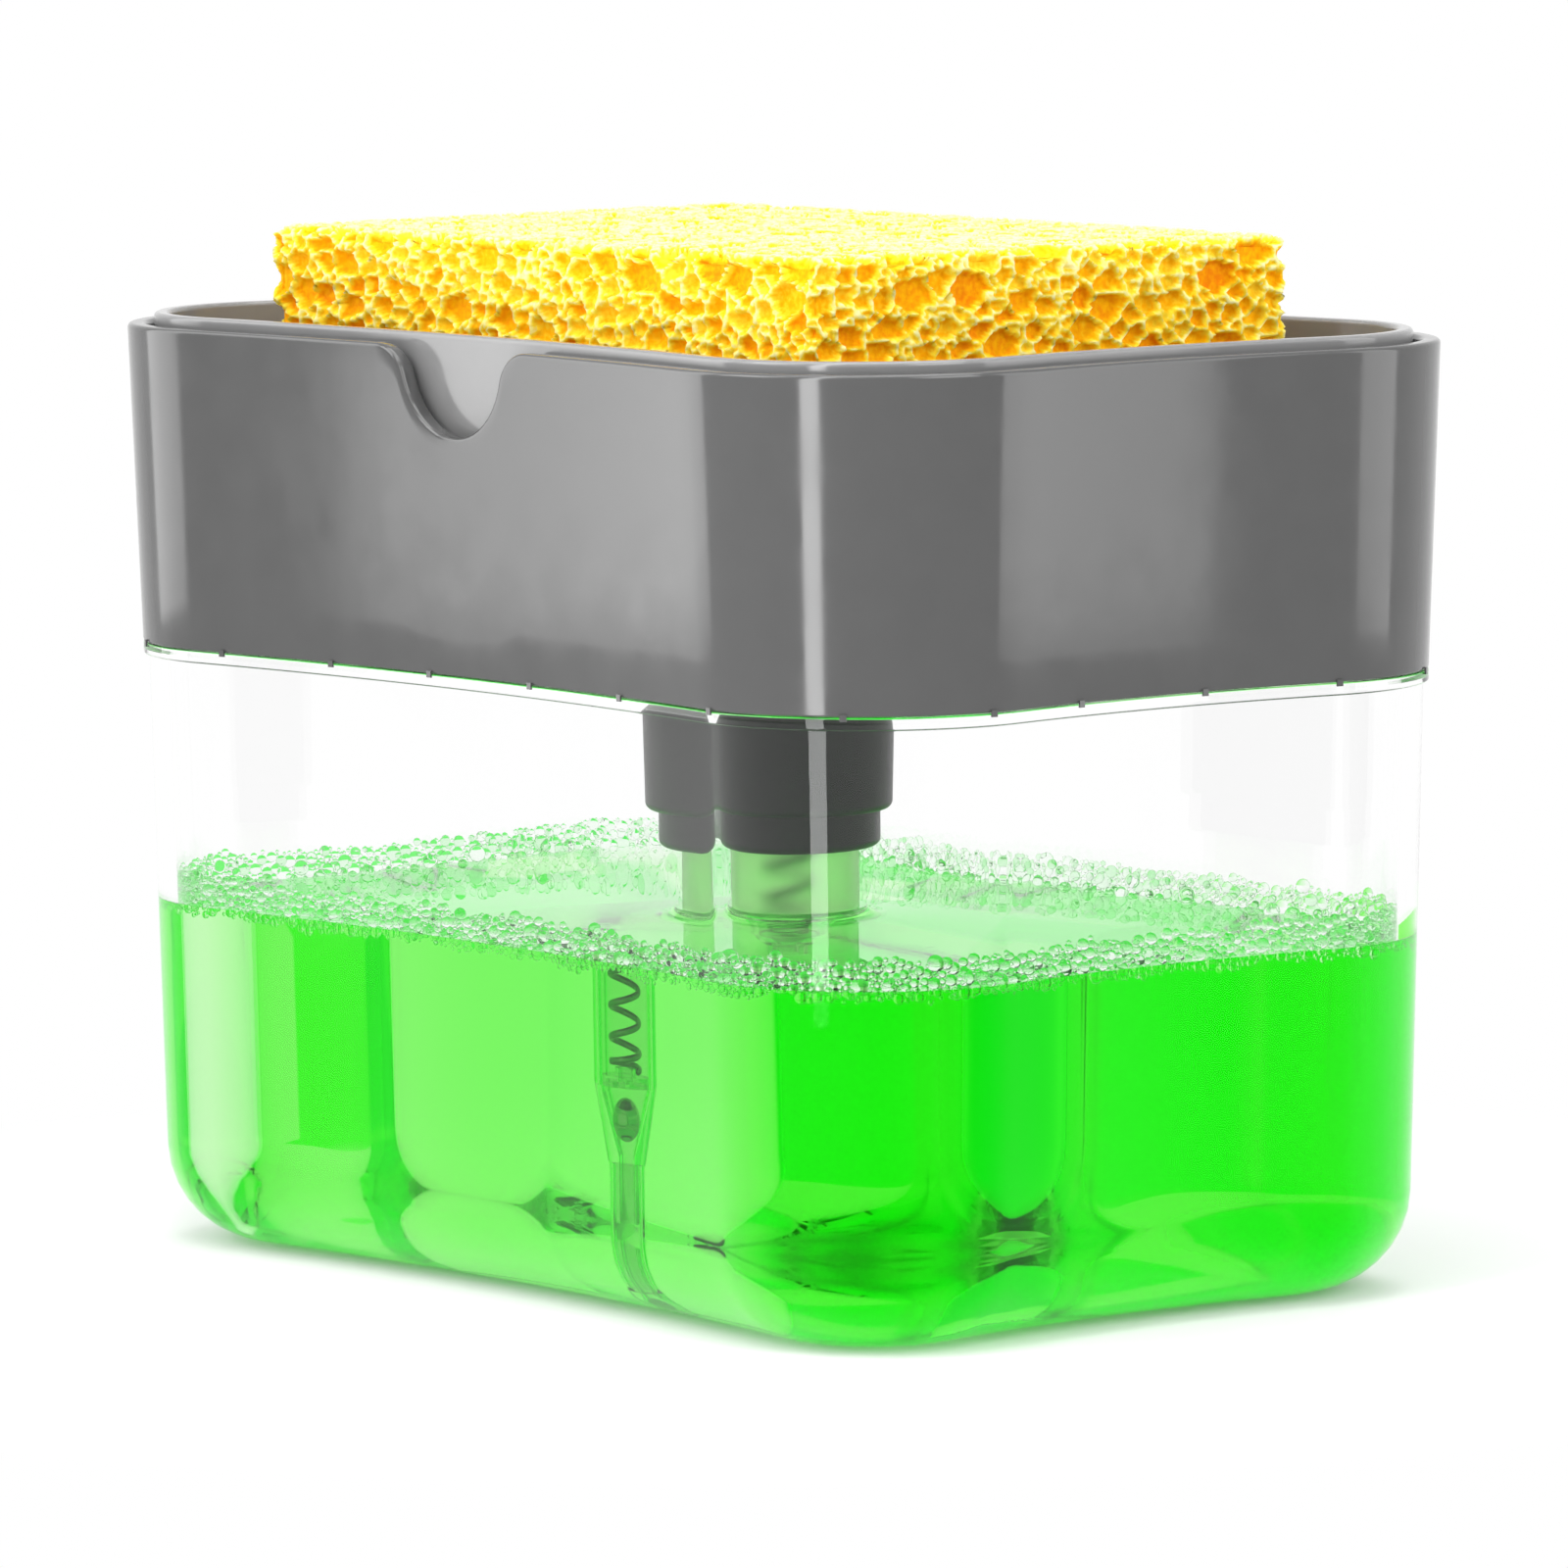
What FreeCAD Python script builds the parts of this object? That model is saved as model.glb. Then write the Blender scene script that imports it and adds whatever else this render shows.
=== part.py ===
import FreeCAD, Part
import math
import os
import re

import Sketcher

# Soap pump caddy: a clear waisted tank, a housing that rests on its flange, and a press tray on a
# spring-returned pump that hangs in the tank. +Z is up, X runs along the long side, the finger notch
# faces -Y and the origin is the centre of the tank's foot. All sizes are in millimetres.

os.makedirs("parts", exist_ok=True)
doc = FreeCAD.newDocument("soap_pump_caddy")

SIZES = {
    # Plan outline of the housing rim, with sides that bow inwards between round corners
    "body_length": 132.0,
    "body_width": 90.0,
    "corner_radius": 21.0,
    "long_side_sag": 3.0,
    "short_side_sag": 1.9,
    # Tank
    "tank_height": 63.7,
    "tank_wall": 2.0,
    "tank_floor": 2.0,
    "tank_draft": 1.56,
    "tank_foot_radius": 10.5,
    "flange_thickness": 1.2,
    "flange_overhang": 0.55,
    "lip_height": 3.3,
    "lap_clearance": 0.3,
    # Soap in the tank
    "soap_headspace": 27.1,
    "soap_clearance": 0.3,
    "pump_clearance": 0.6,
    # Housing
    "seam": 0.1,
    "housing_height": 33.5,
    "housing_wall": 2.0,
    "housing_draft": 1.25,
    "lap_wall": 1.0,
    "lap_height": 3.6,
    "deck_thickness": 2.0,
    "rim_round": 0.5,
    "notch_width": 24.6,
    "notch_depth": 9.15,
    "notch_shoulder_radius": 4.5,
    "neck_wall": 2.4,
    # Press tray
    "stroke": 9.0,
    "stop_gap": 1.0,
    "tray_gap": 0.5,
    "tray_rise": 1.1,
    "tray_wall": 1.6,
    "tray_floor": 1.8,
    "tray_skirt": 3.2,
    "tray_well_radius": 2.0,
    "rib_height": 1.0,
    "rib_width": 1.6,
    "rib_end_margin": 1.3,
    "rib_row_margin": 4.7,
    "outlet_gap": 0.4,
    "socket_wall": 1.5,
    "seat_gap": 0.3,
    # Sponge
    "sponge_end_room": 13.7,
    "sponge_side_room": 5.8,
    "sponge_height": 22.0,
    "sponge_corner_radius": 2.5,
    "sponge_edge_radius": 1.2,
    # Collar nut
    "collar_drop": 19.9,
    "collar_gap": 0.5,
    "collar_radius": 12.8,
    "collar_taper": 0.45,
    "collar_nose_radius": 10.95,
    "collar_nose_height": 3.9,
    "collar_round": 0.8,
    "collar_clearance": 0.2,
    # Pump barrel
    "chamber_radius": 7.3,
    "barrel_wall": 1.2,
    "barrel_flange": 1.5,
    "barrel_flange_radius": 10.2,
    "barrel_fit": 0.15,
    "barrel_round": 0.9,
    "spring_bore_radius": 3.8,
    "intake_height": 11.0,
    "cone_height": 8.0,
    "cone_foot_radius": 3.0,
    "cage_step": 0.35,
    "cage_step_drop": 0.2,
    "valve_seat_drop": 0.7,
    "valve_seat_rise": 0.8,
    "nipple_radius": 1.95,
    "nipple_bore_radius": 1.1,
    "nipple_length": 6.0,
    # Dip tube
    "tube_radius": 2.75,
    "tube_fit": 0.05,
    "tube_foot_gap": 2.0,
    # Stem guide and gasket
    "guide_flange": 1.0,
    "guide_sleeve_radius": 5.5,
    "guide_sleeve_length": 8.0,
    "gasket_thickness": 1.0,
    "gasket_land": 2.3,
    # Stem
    "stem_radius": 3.5,
    "stem_bore_radius": 1.5,
    "stem_upper_bore_radius": 2.4,
    "stem_spigot_radius": 2.5,
    "stem_seat_height": 10.0,
    "stem_seat_depth": 1.6,
    "running_fit": 0.05,
    # Plunger head
    "head_radius": 8.0,
    "head_thickness": 3.0,
    "hub_radius": 5.0,
    "hub_length": 5.0,
    "socket_depth": 3.7,
    "nozzle_radius": 2.5,
    "nozzle_height": 2.6,
    "nozzle_bore_radius": 1.5,
    "ball_stop_radius": 2.25,
    "ball_stop_gap": 0.4,
    # Piston seal
    "piston_height": 3.0,
    "piston_hub_radius": 4.9,
    "piston_ring_radius": 6.3,
    "piston_lip": 0.55,
    "piston_web": 1.0,
    "piston_waist": 0.3,
    "piston_stop_gap": 0.5,
    # Spring seat in the foot of the stem
    "spring_seat_radius": 3.4,
    "spring_seat_thickness": 1.2,
    "spring_seat_bore_radius": 0.8,
    "spring_seat_spigot_length": 3.0,
    "spring_post_radius": 1.65,
    "spring_post_length": 1.5,
    # Ball cage
    "cage_thickness": 1.0,
    "cage_bore_radius": 1.0,
    "cage_slot_width": 0.9,
    "cage_slot_length": 5.6,
    "cage_slot_depth": 0.5,
    # Balls
    "inlet_ball_radius": 2.2,
    "outlet_ball_radius": 2.0,
    "ball_lift": 0.8,
    # Return spring
    "spring_radius": 2.65,
    "wire_radius": 0.375,
    "dead_pitch": 1.3,
    "spring_end_gap": 0.2,
    # How far a cut runs past the face that it opens
    "overrun": 2.0,
}
RIB_COUNT = 10
DEAD_QUARTERS = 3
RAMP_QUARTERS = 2
ACTIVE_QUARTERS = 22
RAMP_SHARE = 0.5
SPRING_SAMPLES = 12
LEAST_SPRING_GAP_SHARE = 0.55

sheet = doc.addObject("Spreadsheet::Sheet", "sizes")
for row, (alias, size) in enumerate(SIZES.items(), start=1):
    sheet.set(f"A{row}", alias)
    sheet.set(f"B{row}", str(size))
    sheet.setAlias(f"B{row}", alias)
doc.recompute()

# Heights of the stack, from the foot up and from the deck down
FLANGE_LOW = "(tank_height - flange_thickness)"
LIP_TOP = "(tank_height + lip_height)"
HOUSING_FOOT = "(tank_height + seam)"
RIM = f"({HOUSING_FOOT} + housing_height)"
DECK_LOW = f"({HOUSING_FOOT} + lap_height)"
DECK_TOP = f"({DECK_LOW} + deck_thickness)"
TRAY_LOW = f"({DECK_TOP} + stroke + stop_gap)"
TRAY_RIM = f"({RIM} + tray_rise)"
TRAY_FLOOR_LOW = f"({TRAY_LOW} + tray_skirt)"
TRAY_FLOOR_TOP = f"({TRAY_FLOOR_LOW} + tray_floor)"
SPONGE_LOW = f"({TRAY_FLOOR_TOP} + rib_height + seat_gap)"
HEAD_TOP = f"({TRAY_FLOOR_LOW} - seat_gap)"
HEAD_LOW = f"({HEAD_TOP} - head_thickness)"
HUB_LOW = f"({HEAD_LOW} - hub_length)"
COLLAR_LOW = "(tank_height - collar_drop)"
COLLAR_STEP = f"({COLLAR_LOW} + collar_nose_height)"
COLLAR_TOP = f"({DECK_LOW} - collar_gap)"
BARREL_TOP = f"({COLLAR_STEP} + barrel_flange)"
GUIDE_TOP = f"({BARREL_TOP} + guide_flange)"
NECK_LOW = f"({GUIDE_TOP} + gasket_thickness)"
SLEEVE_TOP = f"({GUIDE_TOP} + guide_sleeve_length)"
PISTON_TOP = f"({BARREL_TOP} - seat_gap)"
PISTON_LOW = f"({PISTON_TOP} - piston_height)"
CHAMBER_FLOOR = f"({PISTON_LOW} - stroke - piston_stop_gap)"
SHOULDER = f"({CHAMBER_FLOOR} - barrel_wall)"
CONE_LOW = "(tank_floor + intake_height)"
CONE_TOP = f"({CONE_LOW} + cone_height)"
CAGE_LOW = f"({CONE_TOP} - cage_step_drop)"
CAGE_TOP = f"({CAGE_LOW} + cage_thickness)"
VALVE_TOP = f"({CONE_TOP} - valve_seat_drop)"
VALVE_LOW = f"({CONE_LOW} + valve_seat_rise)"
NIPPLE_LOW = f"({CONE_LOW} - nipple_length)"
TUBE_LOW = "(tank_floor + tube_foot_gap)"
SEAT_LOW = f"({PISTON_LOW} - spring_seat_thickness)"
STEM_TOP = f"({HUB_LOW} + socket_depth - seat_gap)"
STEM_SEAT_LOW = f"({GUIDE_TOP} + stem_seat_height)"
STEM_SEAT_TOP = f"({STEM_SEAT_LOW} + stem_seat_depth)"
SOAP_LEVEL = "(tank_height - soap_headspace)"
SPRING_LOW = f"({CAGE_TOP} + spring_end_gap)"
SPRING_TOP = f"({SEAT_LOW} - spring_end_gap)"

# Radii that follow from a fit
GUIDE_BORE = "(stem_radius + running_fit)"
COLLAR_BORE = "(barrel_flange_radius + collar_clearance)"
NECK_BORE = "(barrel_flange_radius - neck_wall)"
CHAMBER_OUTER = "(chamber_radius + barrel_wall)"
LOWER_OUTER = "(spring_bore_radius + barrel_wall)"
VALVE_BORE = "(spring_bore_radius - cage_step)"

# Centres that every waisted outline shares: an outline is told apart only by its inset from the rim
CORNER_X = "(body_length / 2 - corner_radius)"
CORNER_Y = "(body_width / 2 - corner_radius)"
LONG_ARC_Y = f"({CORNER_Y} + {CORNER_X} ^ 2 / (2 * long_side_sag) - long_side_sag / 2)"
SHORT_ARC_X = f"({CORNER_X} + {CORNER_Y} ^ 2 / (2 * short_side_sag) - short_side_sag / 2)"

WORD = re.compile(r"\b[a-z][a-z_]+\b")


def bound(text):
    """An expression on the sheet's aliases, written with their bare names in part.py."""
    return WORD.sub(lambda word: f"sizes.{word[0]}" if word[0] in SIZES else word[0], text)


def value(text):
    return float(sheet.evalExpression(bound(text)))


def housing_inset(height):
    """Inset of the drafted housing's outer face at a height."""
    return f"(housing_draft * ({RIM} - {height}) / housing_height)"


def tank_inset(height):
    """Inset of the drafted tank's outer face at a height."""
    foot = housing_inset(HOUSING_FOOT)
    return f"({foot} + flange_overhang + tank_draft * ({FLANGE_LOW} - {height}) / {FLANGE_LOW})"


def tray_inset(height):
    """Inset of the tray's outer face: it still clears the narrowing housing at the end of its stroke."""
    return f"(housing_wall + tray_gap + {housing_inset(f'({height} - stroke)')})"


def seated_height(low, low_radius, top, top_radius, ball):
    """Centre height of a ball that rests a running fit above its conical seat."""
    slope = f"(({top_radius} - {low_radius}) / ({top} - {low}))"
    return f"({low} - {low_radius} / {slope} + ({ball} + running_fit) * sqrt(1 + {slope} ^ 2) / {slope})"


INLET_BALL = seated_height(VALVE_LOW, "nipple_bore_radius", VALVE_TOP, VALVE_BORE, "inlet_ball_radius")
OUTLET_BALL = seated_height(STEM_SEAT_LOW, "stem_bore_radius", STEM_SEAT_TOP, "stem_upper_bore_radius",
                            "outlet_ball_radius")
BALL_STOP = f"({OUTLET_BALL} + outlet_ball_radius + ball_lift + ball_stop_gap)"

# The sponge stands in the tray with room all round, and the tray's ribs stay under it
TRAY_WELL_INSET = f"(tray_wall + {tray_inset(TRAY_FLOOR_TOP)})"
SPONGE_LENGTH = f"(body_length - 2 * ({TRAY_WELL_INSET} + short_side_sag + sponge_end_room))"
SPONGE_WIDTH = f"(body_width - 2 * ({TRAY_WELL_INSET} + long_side_sag + sponge_side_room))"
RIB_LENGTH = f"({SPONGE_WIDTH} - 2 * rib_end_margin)"
RIB_SPAN = f"({SPONGE_LENGTH} - 2 * rib_row_margin - rib_width)"


def new_body(label):
    body = doc.addObject("PartDesign::Body", label)
    body.Label = label
    return body


def new_sketch(body, name, role="XY_Plane", height=None):
    plane = next(feature for feature in body.Origin.OriginFeatures if feature.Role == role)
    sketch = body.newObject("Sketcher::SketchObject", name)
    sketch.AttachmentSupport = [(plane, "")]
    sketch.MapMode = "FlatFace"
    if height:
        sketch.setExpression("AttachmentOffset.Base.z", bound(height))
    return sketch


def dimension(sketch, kind, where, size):
    index = sketch.addConstraint(Sketcher.Constraint(kind, *where, value(size)))
    sketch.setExpression(f"Constraints[{index}]", bound(size))


def place(sketch, point, across, up):
    """Dimension a sketch point from the origin."""
    for kind, axis, size in (("DistanceX", -2, across), ("DistanceY", -1, up)):
        if size == "0":
            sketch.addConstraint(Sketcher.Constraint("PointOnObject", *point, axis))
        elif size.startswith("-"):
            dimension(sketch, kind, (*point, -1, 1), size[1:])
        else:
            dimension(sketch, kind, (-1, 1, *point), size)


def polygon(sketch, corners):
    """Closed line loop whose corners are pairs of expressions."""
    points = [FreeCAD.Vector(value(across), value(up), 0) for across, up in corners]
    for start, end in zip(points, points[1:] + points[:1]):
        sketch.addGeometry(Part.LineSegment(start, end))
    for index, (across, up) in enumerate(corners):
        following = (index + 1) % len(corners)
        sketch.addConstraint(Sketcher.Constraint("Coincident", index, 2, following, 1))
        place(sketch, (index, 1), across, up)


def circle(sketch, radius):
    index = sketch.addGeometry(Part.Circle(FreeCAD.Vector(), FreeCAD.Vector(0, 0, 1), value(radius)))
    sketch.addConstraint(Sketcher.Constraint("Coincident", index, 3, -1, 1))
    dimension(sketch, "Radius", (index,), radius)


def arc(centre, radius, middle, half_angle):
    """Arc about a middle direction, counter-clockwise."""
    whole = Part.Circle(centre, FreeCAD.Vector(0, 0, 1), radius)
    return Part.ArcOfCircle(whole, middle - half_angle, middle + half_angle)


def waisted_sketch(body, name, height, inset):
    """Round corners joined by tangent arcs that bow inwards, set in from the housing's rim outline."""
    sketch = new_sketch(body, name, height=height)
    corner = FreeCAD.Vector(value(CORNER_X), value(CORNER_Y), 0)
    radius = value(f"corner_radius - {inset}")
    right = FreeCAD.Vector(value(SHORT_ARC_X), 0, 0)
    back = FreeCAD.Vector(0, value(LONG_ARC_Y), 0)
    leans = (math.atan2(corner.y, right.x - corner.x), math.atan2(corner.x, back.y - corner.y))
    spans = (right.distanceToPoint(corner) - radius, back.distanceToPoint(corner) - radius)
    starts = (-leans[0], math.pi / 2 - leans[1])
    turn = (math.pi / 2 + sum(leans)) / 2
    quarters = ((1, 1), (-1, 1), (-1, -1), (1, -1))
    for quarter, (across, up) in enumerate(quarters):
        # A side arc, then the corner that follows it counter-clockwise
        kind, half = quarter % 2, quarter // 2
        side = (right, back)[kind] * (1, -1)[half]
        sketch.addGeometry(arc(side, spans[kind], math.pi * (1 + quarter / 2), leans[kind]))
        centre = FreeCAD.Vector(across * corner.x, up * corner.y, 0)
        sketch.addGeometry(arc(centre, radius, starts[kind] + half * math.pi + turn, turn))
    for quarter, (across, up) in enumerate(quarters):
        side, corner_arc, next_side = 2 * quarter, 2 * quarter + 1, (2 * quarter + 2) % 8
        sketch.addConstraint(Sketcher.Constraint("Tangent", side, 1, corner_arc, 1))
        sketch.addConstraint(Sketcher.Constraint("Tangent", corner_arc, 2, next_side, 2))
        sign_x, sign_y = ("-", "")[across > 0], ("-", "")[up > 0]
        place(sketch, (corner_arc, 3), sign_x + CORNER_X, sign_y + CORNER_Y)
        if quarter:
            sketch.addConstraint(Sketcher.Constraint("Equal", 1, corner_arc))
    dimension(sketch, "Radius", (1,), f"corner_radius - {inset}")
    dimension(sketch, "DistanceX", (-1, 1, 0, 3), SHORT_ARC_X)
    dimension(sketch, "DistanceY", (-1, 1, 2, 3), LONG_ARC_Y)
    dimension(sketch, "DistanceX", (4, 3, -1, 1), SHORT_ARC_X)
    dimension(sketch, "DistanceY", (6, 3, -1, 1), LONG_ARC_Y)
    return sketch


def drafted(body, name, kind, low, high):
    """Loft between two waisted outlines, each given as a height and an inset."""
    loft = body.newObject(f"PartDesign::{kind}", name)
    loft.Profile = waisted_sketch(body, f"{name}_low", *low)
    loft.Sections = [waisted_sketch(body, f"{name}_high", *high)]
    loft.Ruled = True
    body.Tip = loft
    return loft


def padded(body, name, sketch, length, kind="Pad", reverse=False):
    feature = body.newObject(f"PartDesign::{kind}", name)
    feature.Profile = sketch
    feature.Reversed = reverse
    feature.setExpression("Length", bound(length))
    return feature


def rounded(body, name, radius, wanted):
    """Fillet on the edges of the body's last feature that the test picks."""
    doc.recompute()
    base = body.Tip
    picked = [f"Edge{index}" for index, edge in enumerate(base.Shape.Edges, start=1) if wanted(edge)]
    fillet = body.newObject("PartDesign::Fillet", name)
    fillet.Base = (base, picked)
    fillet.setExpression("Radius", bound(radius))
    return fillet


def flat_at(edge, height):
    """True for an edge that lies in the level plane at a height."""
    near = value("seam") / 2
    return max(abs(edge.BoundBox.ZMin - height), abs(edge.BoundBox.ZMax - height)) < near


def ring_at(edge, radius, height):
    """True for a level circle of that radius about the pump's axis."""
    near = value("seam") / 2
    reach = max(edge.BoundBox.XMax, -edge.BoundBox.XMin)
    return flat_at(edge, height) and abs(reach - radius) < near


def turned(label, corners):
    """Body of revolution about the pump's axis from a profile of radius and height pairs."""
    body = new_body(label)
    profile = new_sketch(body, f"{label}_profile", role="XZ_Plane")
    polygon(profile, corners)
    turn = body.newObject("PartDesign::Revolution", f"{label}_turn")
    turn.Profile = profile
    turn.ReferenceAxis = (profile, ["V_Axis"])
    turn.Angle = 360
    return body


def make_reservoir():
    body = new_body("reservoir")
    flange = housing_inset(HOUSING_FOOT)
    lip = f"({flange} + lap_wall + lap_clearance)"
    mouth = f"({LIP_TOP} + overrun)"
    drafted(body, "tank_wall_loft", "AdditiveLoft",
            ("0", tank_inset("0")), (FLANGE_LOW, tank_inset(FLANGE_LOW)))
    drafted(body, "tank_flange", "AdditiveLoft", (FLANGE_LOW, flange), ("tank_height", flange))
    drafted(body, "tank_lip", "AdditiveLoft", ("tank_height", lip), (LIP_TOP, lip))
    inner_low = f"(tank_wall + {tank_inset('tank_floor')})"
    inner_high = f"(tank_wall + {tank_inset(mouth)})"
    drafted(body, "tank_cavity", "SubtractiveLoft", ("tank_floor", inner_low), (mouth, inner_high))
    floor = value("tank_floor")
    rounded(body, "tank_cavity_foot", "tank_foot_radius - tank_wall", lambda edge: flat_at(edge, floor))
    rounded(body, "tank_foot", "tank_foot_radius", lambda edge: flat_at(edge, 0))
    return body


def make_soap():
    """Soap up to its level, with a stepped well that leaves the pump free to lift out."""
    body = new_body("soap_fill")
    low = "(tank_floor + soap_clearance)"
    wall = "tank_wall + soap_clearance"
    drafted(body, "soap_block", "AdditiveLoft",
            (low, f"({wall} + {tank_inset(low)})"), (SOAP_LEVEL, f"({wall} + {tank_inset(SOAP_LEVEL)})"))
    well = new_sketch(body, "pump_well_profile", role="XZ_Plane")
    tube = "(tube_radius + pump_clearance)"
    lower = f"({LOWER_OUTER} + pump_clearance)"
    upper = f"({CHAMBER_OUTER} + pump_clearance)"
    cone = f"({CONE_LOW} - pump_clearance)"
    shoulder = f"({SHOULDER} - pump_clearance)"
    foot = f"({TUBE_LOW} - pump_clearance)"
    nose = f"({COLLAR_LOW} - pump_clearance)"
    wide = "(collar_radius + pump_clearance)"
    polygon(well, [("0", foot), (tube, foot), (tube, cone), (lower, cone), (lower, shoulder),
                   (upper, shoulder), (upper, nose), (wide, nose), (wide, "tank_height"),
                   ("0", "tank_height")])
    groove = body.newObject("PartDesign::Groove", "pump_well")
    groove.Profile = well
    groove.ReferenceAxis = (well, ["V_Axis"])
    groove.Angle = 360
    floor = value(low)
    rounded(body, "soap_foot", "tank_foot_radius - tank_wall - soap_clearance",
            lambda edge: flat_at(edge, floor))
    return body


def notch_sketch(body):
    """Round-bottomed finger notch whose shoulders run out into the rim."""
    sketch = new_sketch(body, "notch_outline", role="XZ_Plane")
    half, depth, shoulder = value("notch_width / 2"), value("notch_depth"), value("notch_shoulder_radius")
    rim, top = value(RIM), value(f"{RIM} + overrun")
    bottom = (half ** 2 + depth ** 2) / (2 * depth) - shoulder
    centre = rim - depth + bottom
    lean = math.atan2(half, centre - rim + shoulder)
    sketch.addGeometry(arc(FreeCAD.Vector(0, centre, 0), bottom, -math.pi / 2, lean))
    sketch.addGeometry(Part.ArcOfCircle(Part.Circle(FreeCAD.Vector(half, rim - shoulder, 0),
                                                    FreeCAD.Vector(0, 0, 1), shoulder),
                                        math.pi / 2, math.pi / 2 + lean))
    sketch.addGeometry(Part.ArcOfCircle(Part.Circle(FreeCAD.Vector(-half, rim - shoulder, 0),
                                                    FreeCAD.Vector(0, 0, 1), shoulder),
                                        math.pi / 2 - lean, math.pi / 2))
    corners = [(half, rim), (half, top), (-half, top), (-half, rim)]
    for start, end in zip(corners, corners[1:]):
        sketch.addGeometry(Part.LineSegment(FreeCAD.Vector(*start, 0), FreeCAD.Vector(*end, 0)))
    for first, end, second, start in ((0, 2, 1, 2), (0, 1, 2, 1)):
        sketch.addConstraint(Sketcher.Constraint("Tangent", first, end, second, start))
    for first, end, second, start in ((1, 1, 3, 1), (3, 2, 4, 1), (4, 2, 5, 1), (5, 2, 2, 2)):
        sketch.addConstraint(Sketcher.Constraint("Coincident", first, end, second, start))
    place(sketch, (1, 3), "notch_width / 2", f"({RIM} - notch_shoulder_radius)")
    place(sketch, (2, 3), "-notch_width / 2", f"({RIM} - notch_shoulder_radius)")
    dimension(sketch, "Radius", (1,), "notch_shoulder_radius")
    sketch.addConstraint(Sketcher.Constraint("Equal", 1, 2))
    for side in (3, 5):
        sketch.addConstraint(Sketcher.Constraint("Vertical", side))
    place(sketch, (3, 2), "notch_width / 2", f"({RIM} + overrun)")
    place(sketch, (4, 2), "-notch_width / 2", f"({RIM} + overrun)")
    dimension(sketch, "Radius", (0,),
              "((notch_width / 2) ^ 2 + notch_depth ^ 2) / (2 * notch_depth) - notch_shoulder_radius")
    return sketch


def make_housing():
    body = new_body("upper_housing")
    mouth = f"({RIM} + overrun)"
    under = f"({HOUSING_FOOT} - overrun)"
    drafted(body, "housing_shell", "AdditiveLoft",
            (HOUSING_FOOT, housing_inset(HOUSING_FOOT)), (RIM, housing_inset(RIM)))
    drafted(body, "housing_well", "SubtractiveLoft",
            (DECK_TOP, f"(housing_wall + {housing_inset(DECK_TOP)})"),
            (mouth, f"(housing_wall + {housing_inset(mouth)})"))
    lap = f"(lap_wall + {housing_inset(HOUSING_FOOT)})"
    drafted(body, "housing_lap", "SubtractiveLoft", (under, lap), (DECK_LOW, lap))
    neck = new_sketch(body, "neck_outline", height=NECK_LOW)
    circle(neck, "barrel_flange_radius")
    padded(body, "neck", neck, f"{DECK_LOW} - {NECK_LOW}")
    bore = new_sketch(body, "neck_bore_outline", height=f"({DECK_TOP} + overrun)")
    circle(bore, NECK_BORE)
    padded(body, "neck_bore", bore, f"{DECK_TOP} - {NECK_LOW} + 2 * overrun", kind="Pocket")
    rim = value(RIM)
    rounded(body, "housing_rim", "rim_round", lambda edge: flat_at(edge, rim))
    padded(body, "finger_notch", notch_sketch(body), "body_width", kind="Pocket", reverse=True)
    return body


def make_tray():
    body = new_body("press_tray")
    drafted(body, "tray_shell", "AdditiveLoft",
            (TRAY_LOW, tray_inset(TRAY_LOW)), (TRAY_RIM, tray_inset(TRAY_RIM)))
    mouth = f"({TRAY_RIM} + overrun)"
    under = f"({TRAY_LOW} - overrun)"
    drafted(body, "tray_well", "SubtractiveLoft",
            (TRAY_FLOOR_TOP, TRAY_WELL_INSET), (mouth, f"(tray_wall + {tray_inset(mouth)})"))
    drafted(body, "tray_underside", "SubtractiveLoft",
            (under, f"(tray_wall + {tray_inset(under)})"),
            (TRAY_FLOOR_LOW, f"(tray_wall + {tray_inset(TRAY_FLOOR_LOW)})"))
    rim, floor = value(TRAY_RIM), value(TRAY_FLOOR_TOP)
    rounded(body, "tray_rim", "rim_round", lambda edge: flat_at(edge, rim))
    rounded(body, "tray_floor_edge", "tray_well_radius", lambda edge: flat_at(edge, floor))
    socket = new_sketch(body, "socket_outline", height=TRAY_LOW)
    circle(socket, "head_radius + seat_gap")
    circle(socket, "head_radius + seat_gap + socket_wall")
    padded(body, "head_socket", socket, "tray_skirt + tray_floor / 2")
    outlet = new_sketch(body, "outlet_outline", height=f"({TRAY_FLOOR_TOP} + overrun)")
    circle(outlet, "nozzle_radius + outlet_gap")
    padded(body, "outlet", outlet, "tray_floor + 2 * overrun", kind="Pocket")
    rib = new_sketch(body, "rib_outline", height=f"({TRAY_FLOOR_TOP} - tray_floor / 2)")
    near, far = f"({RIB_SPAN} - rib_width) / 2", f"({RIB_SPAN} + rib_width) / 2"
    front, back = f"-{RIB_LENGTH} / 2", f"{RIB_LENGTH} / 2"
    polygon(rib, [(f"-{far}", front), (f"-{near}", front), (f"-{near}", back), (f"-{far}", back)])
    pad = padded(body, "sponge_rib", rib, "tray_floor / 2 + rib_height")
    row = body.newObject("PartDesign::LinearPattern", "sponge_ribs")
    row.Originals = [pad]
    row.Direction = (rib, ["H_Axis"])
    row.Occurrences = RIB_COUNT
    row.setExpression("Length", bound(RIB_SPAN))
    body.Tip = row
    return body


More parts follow.
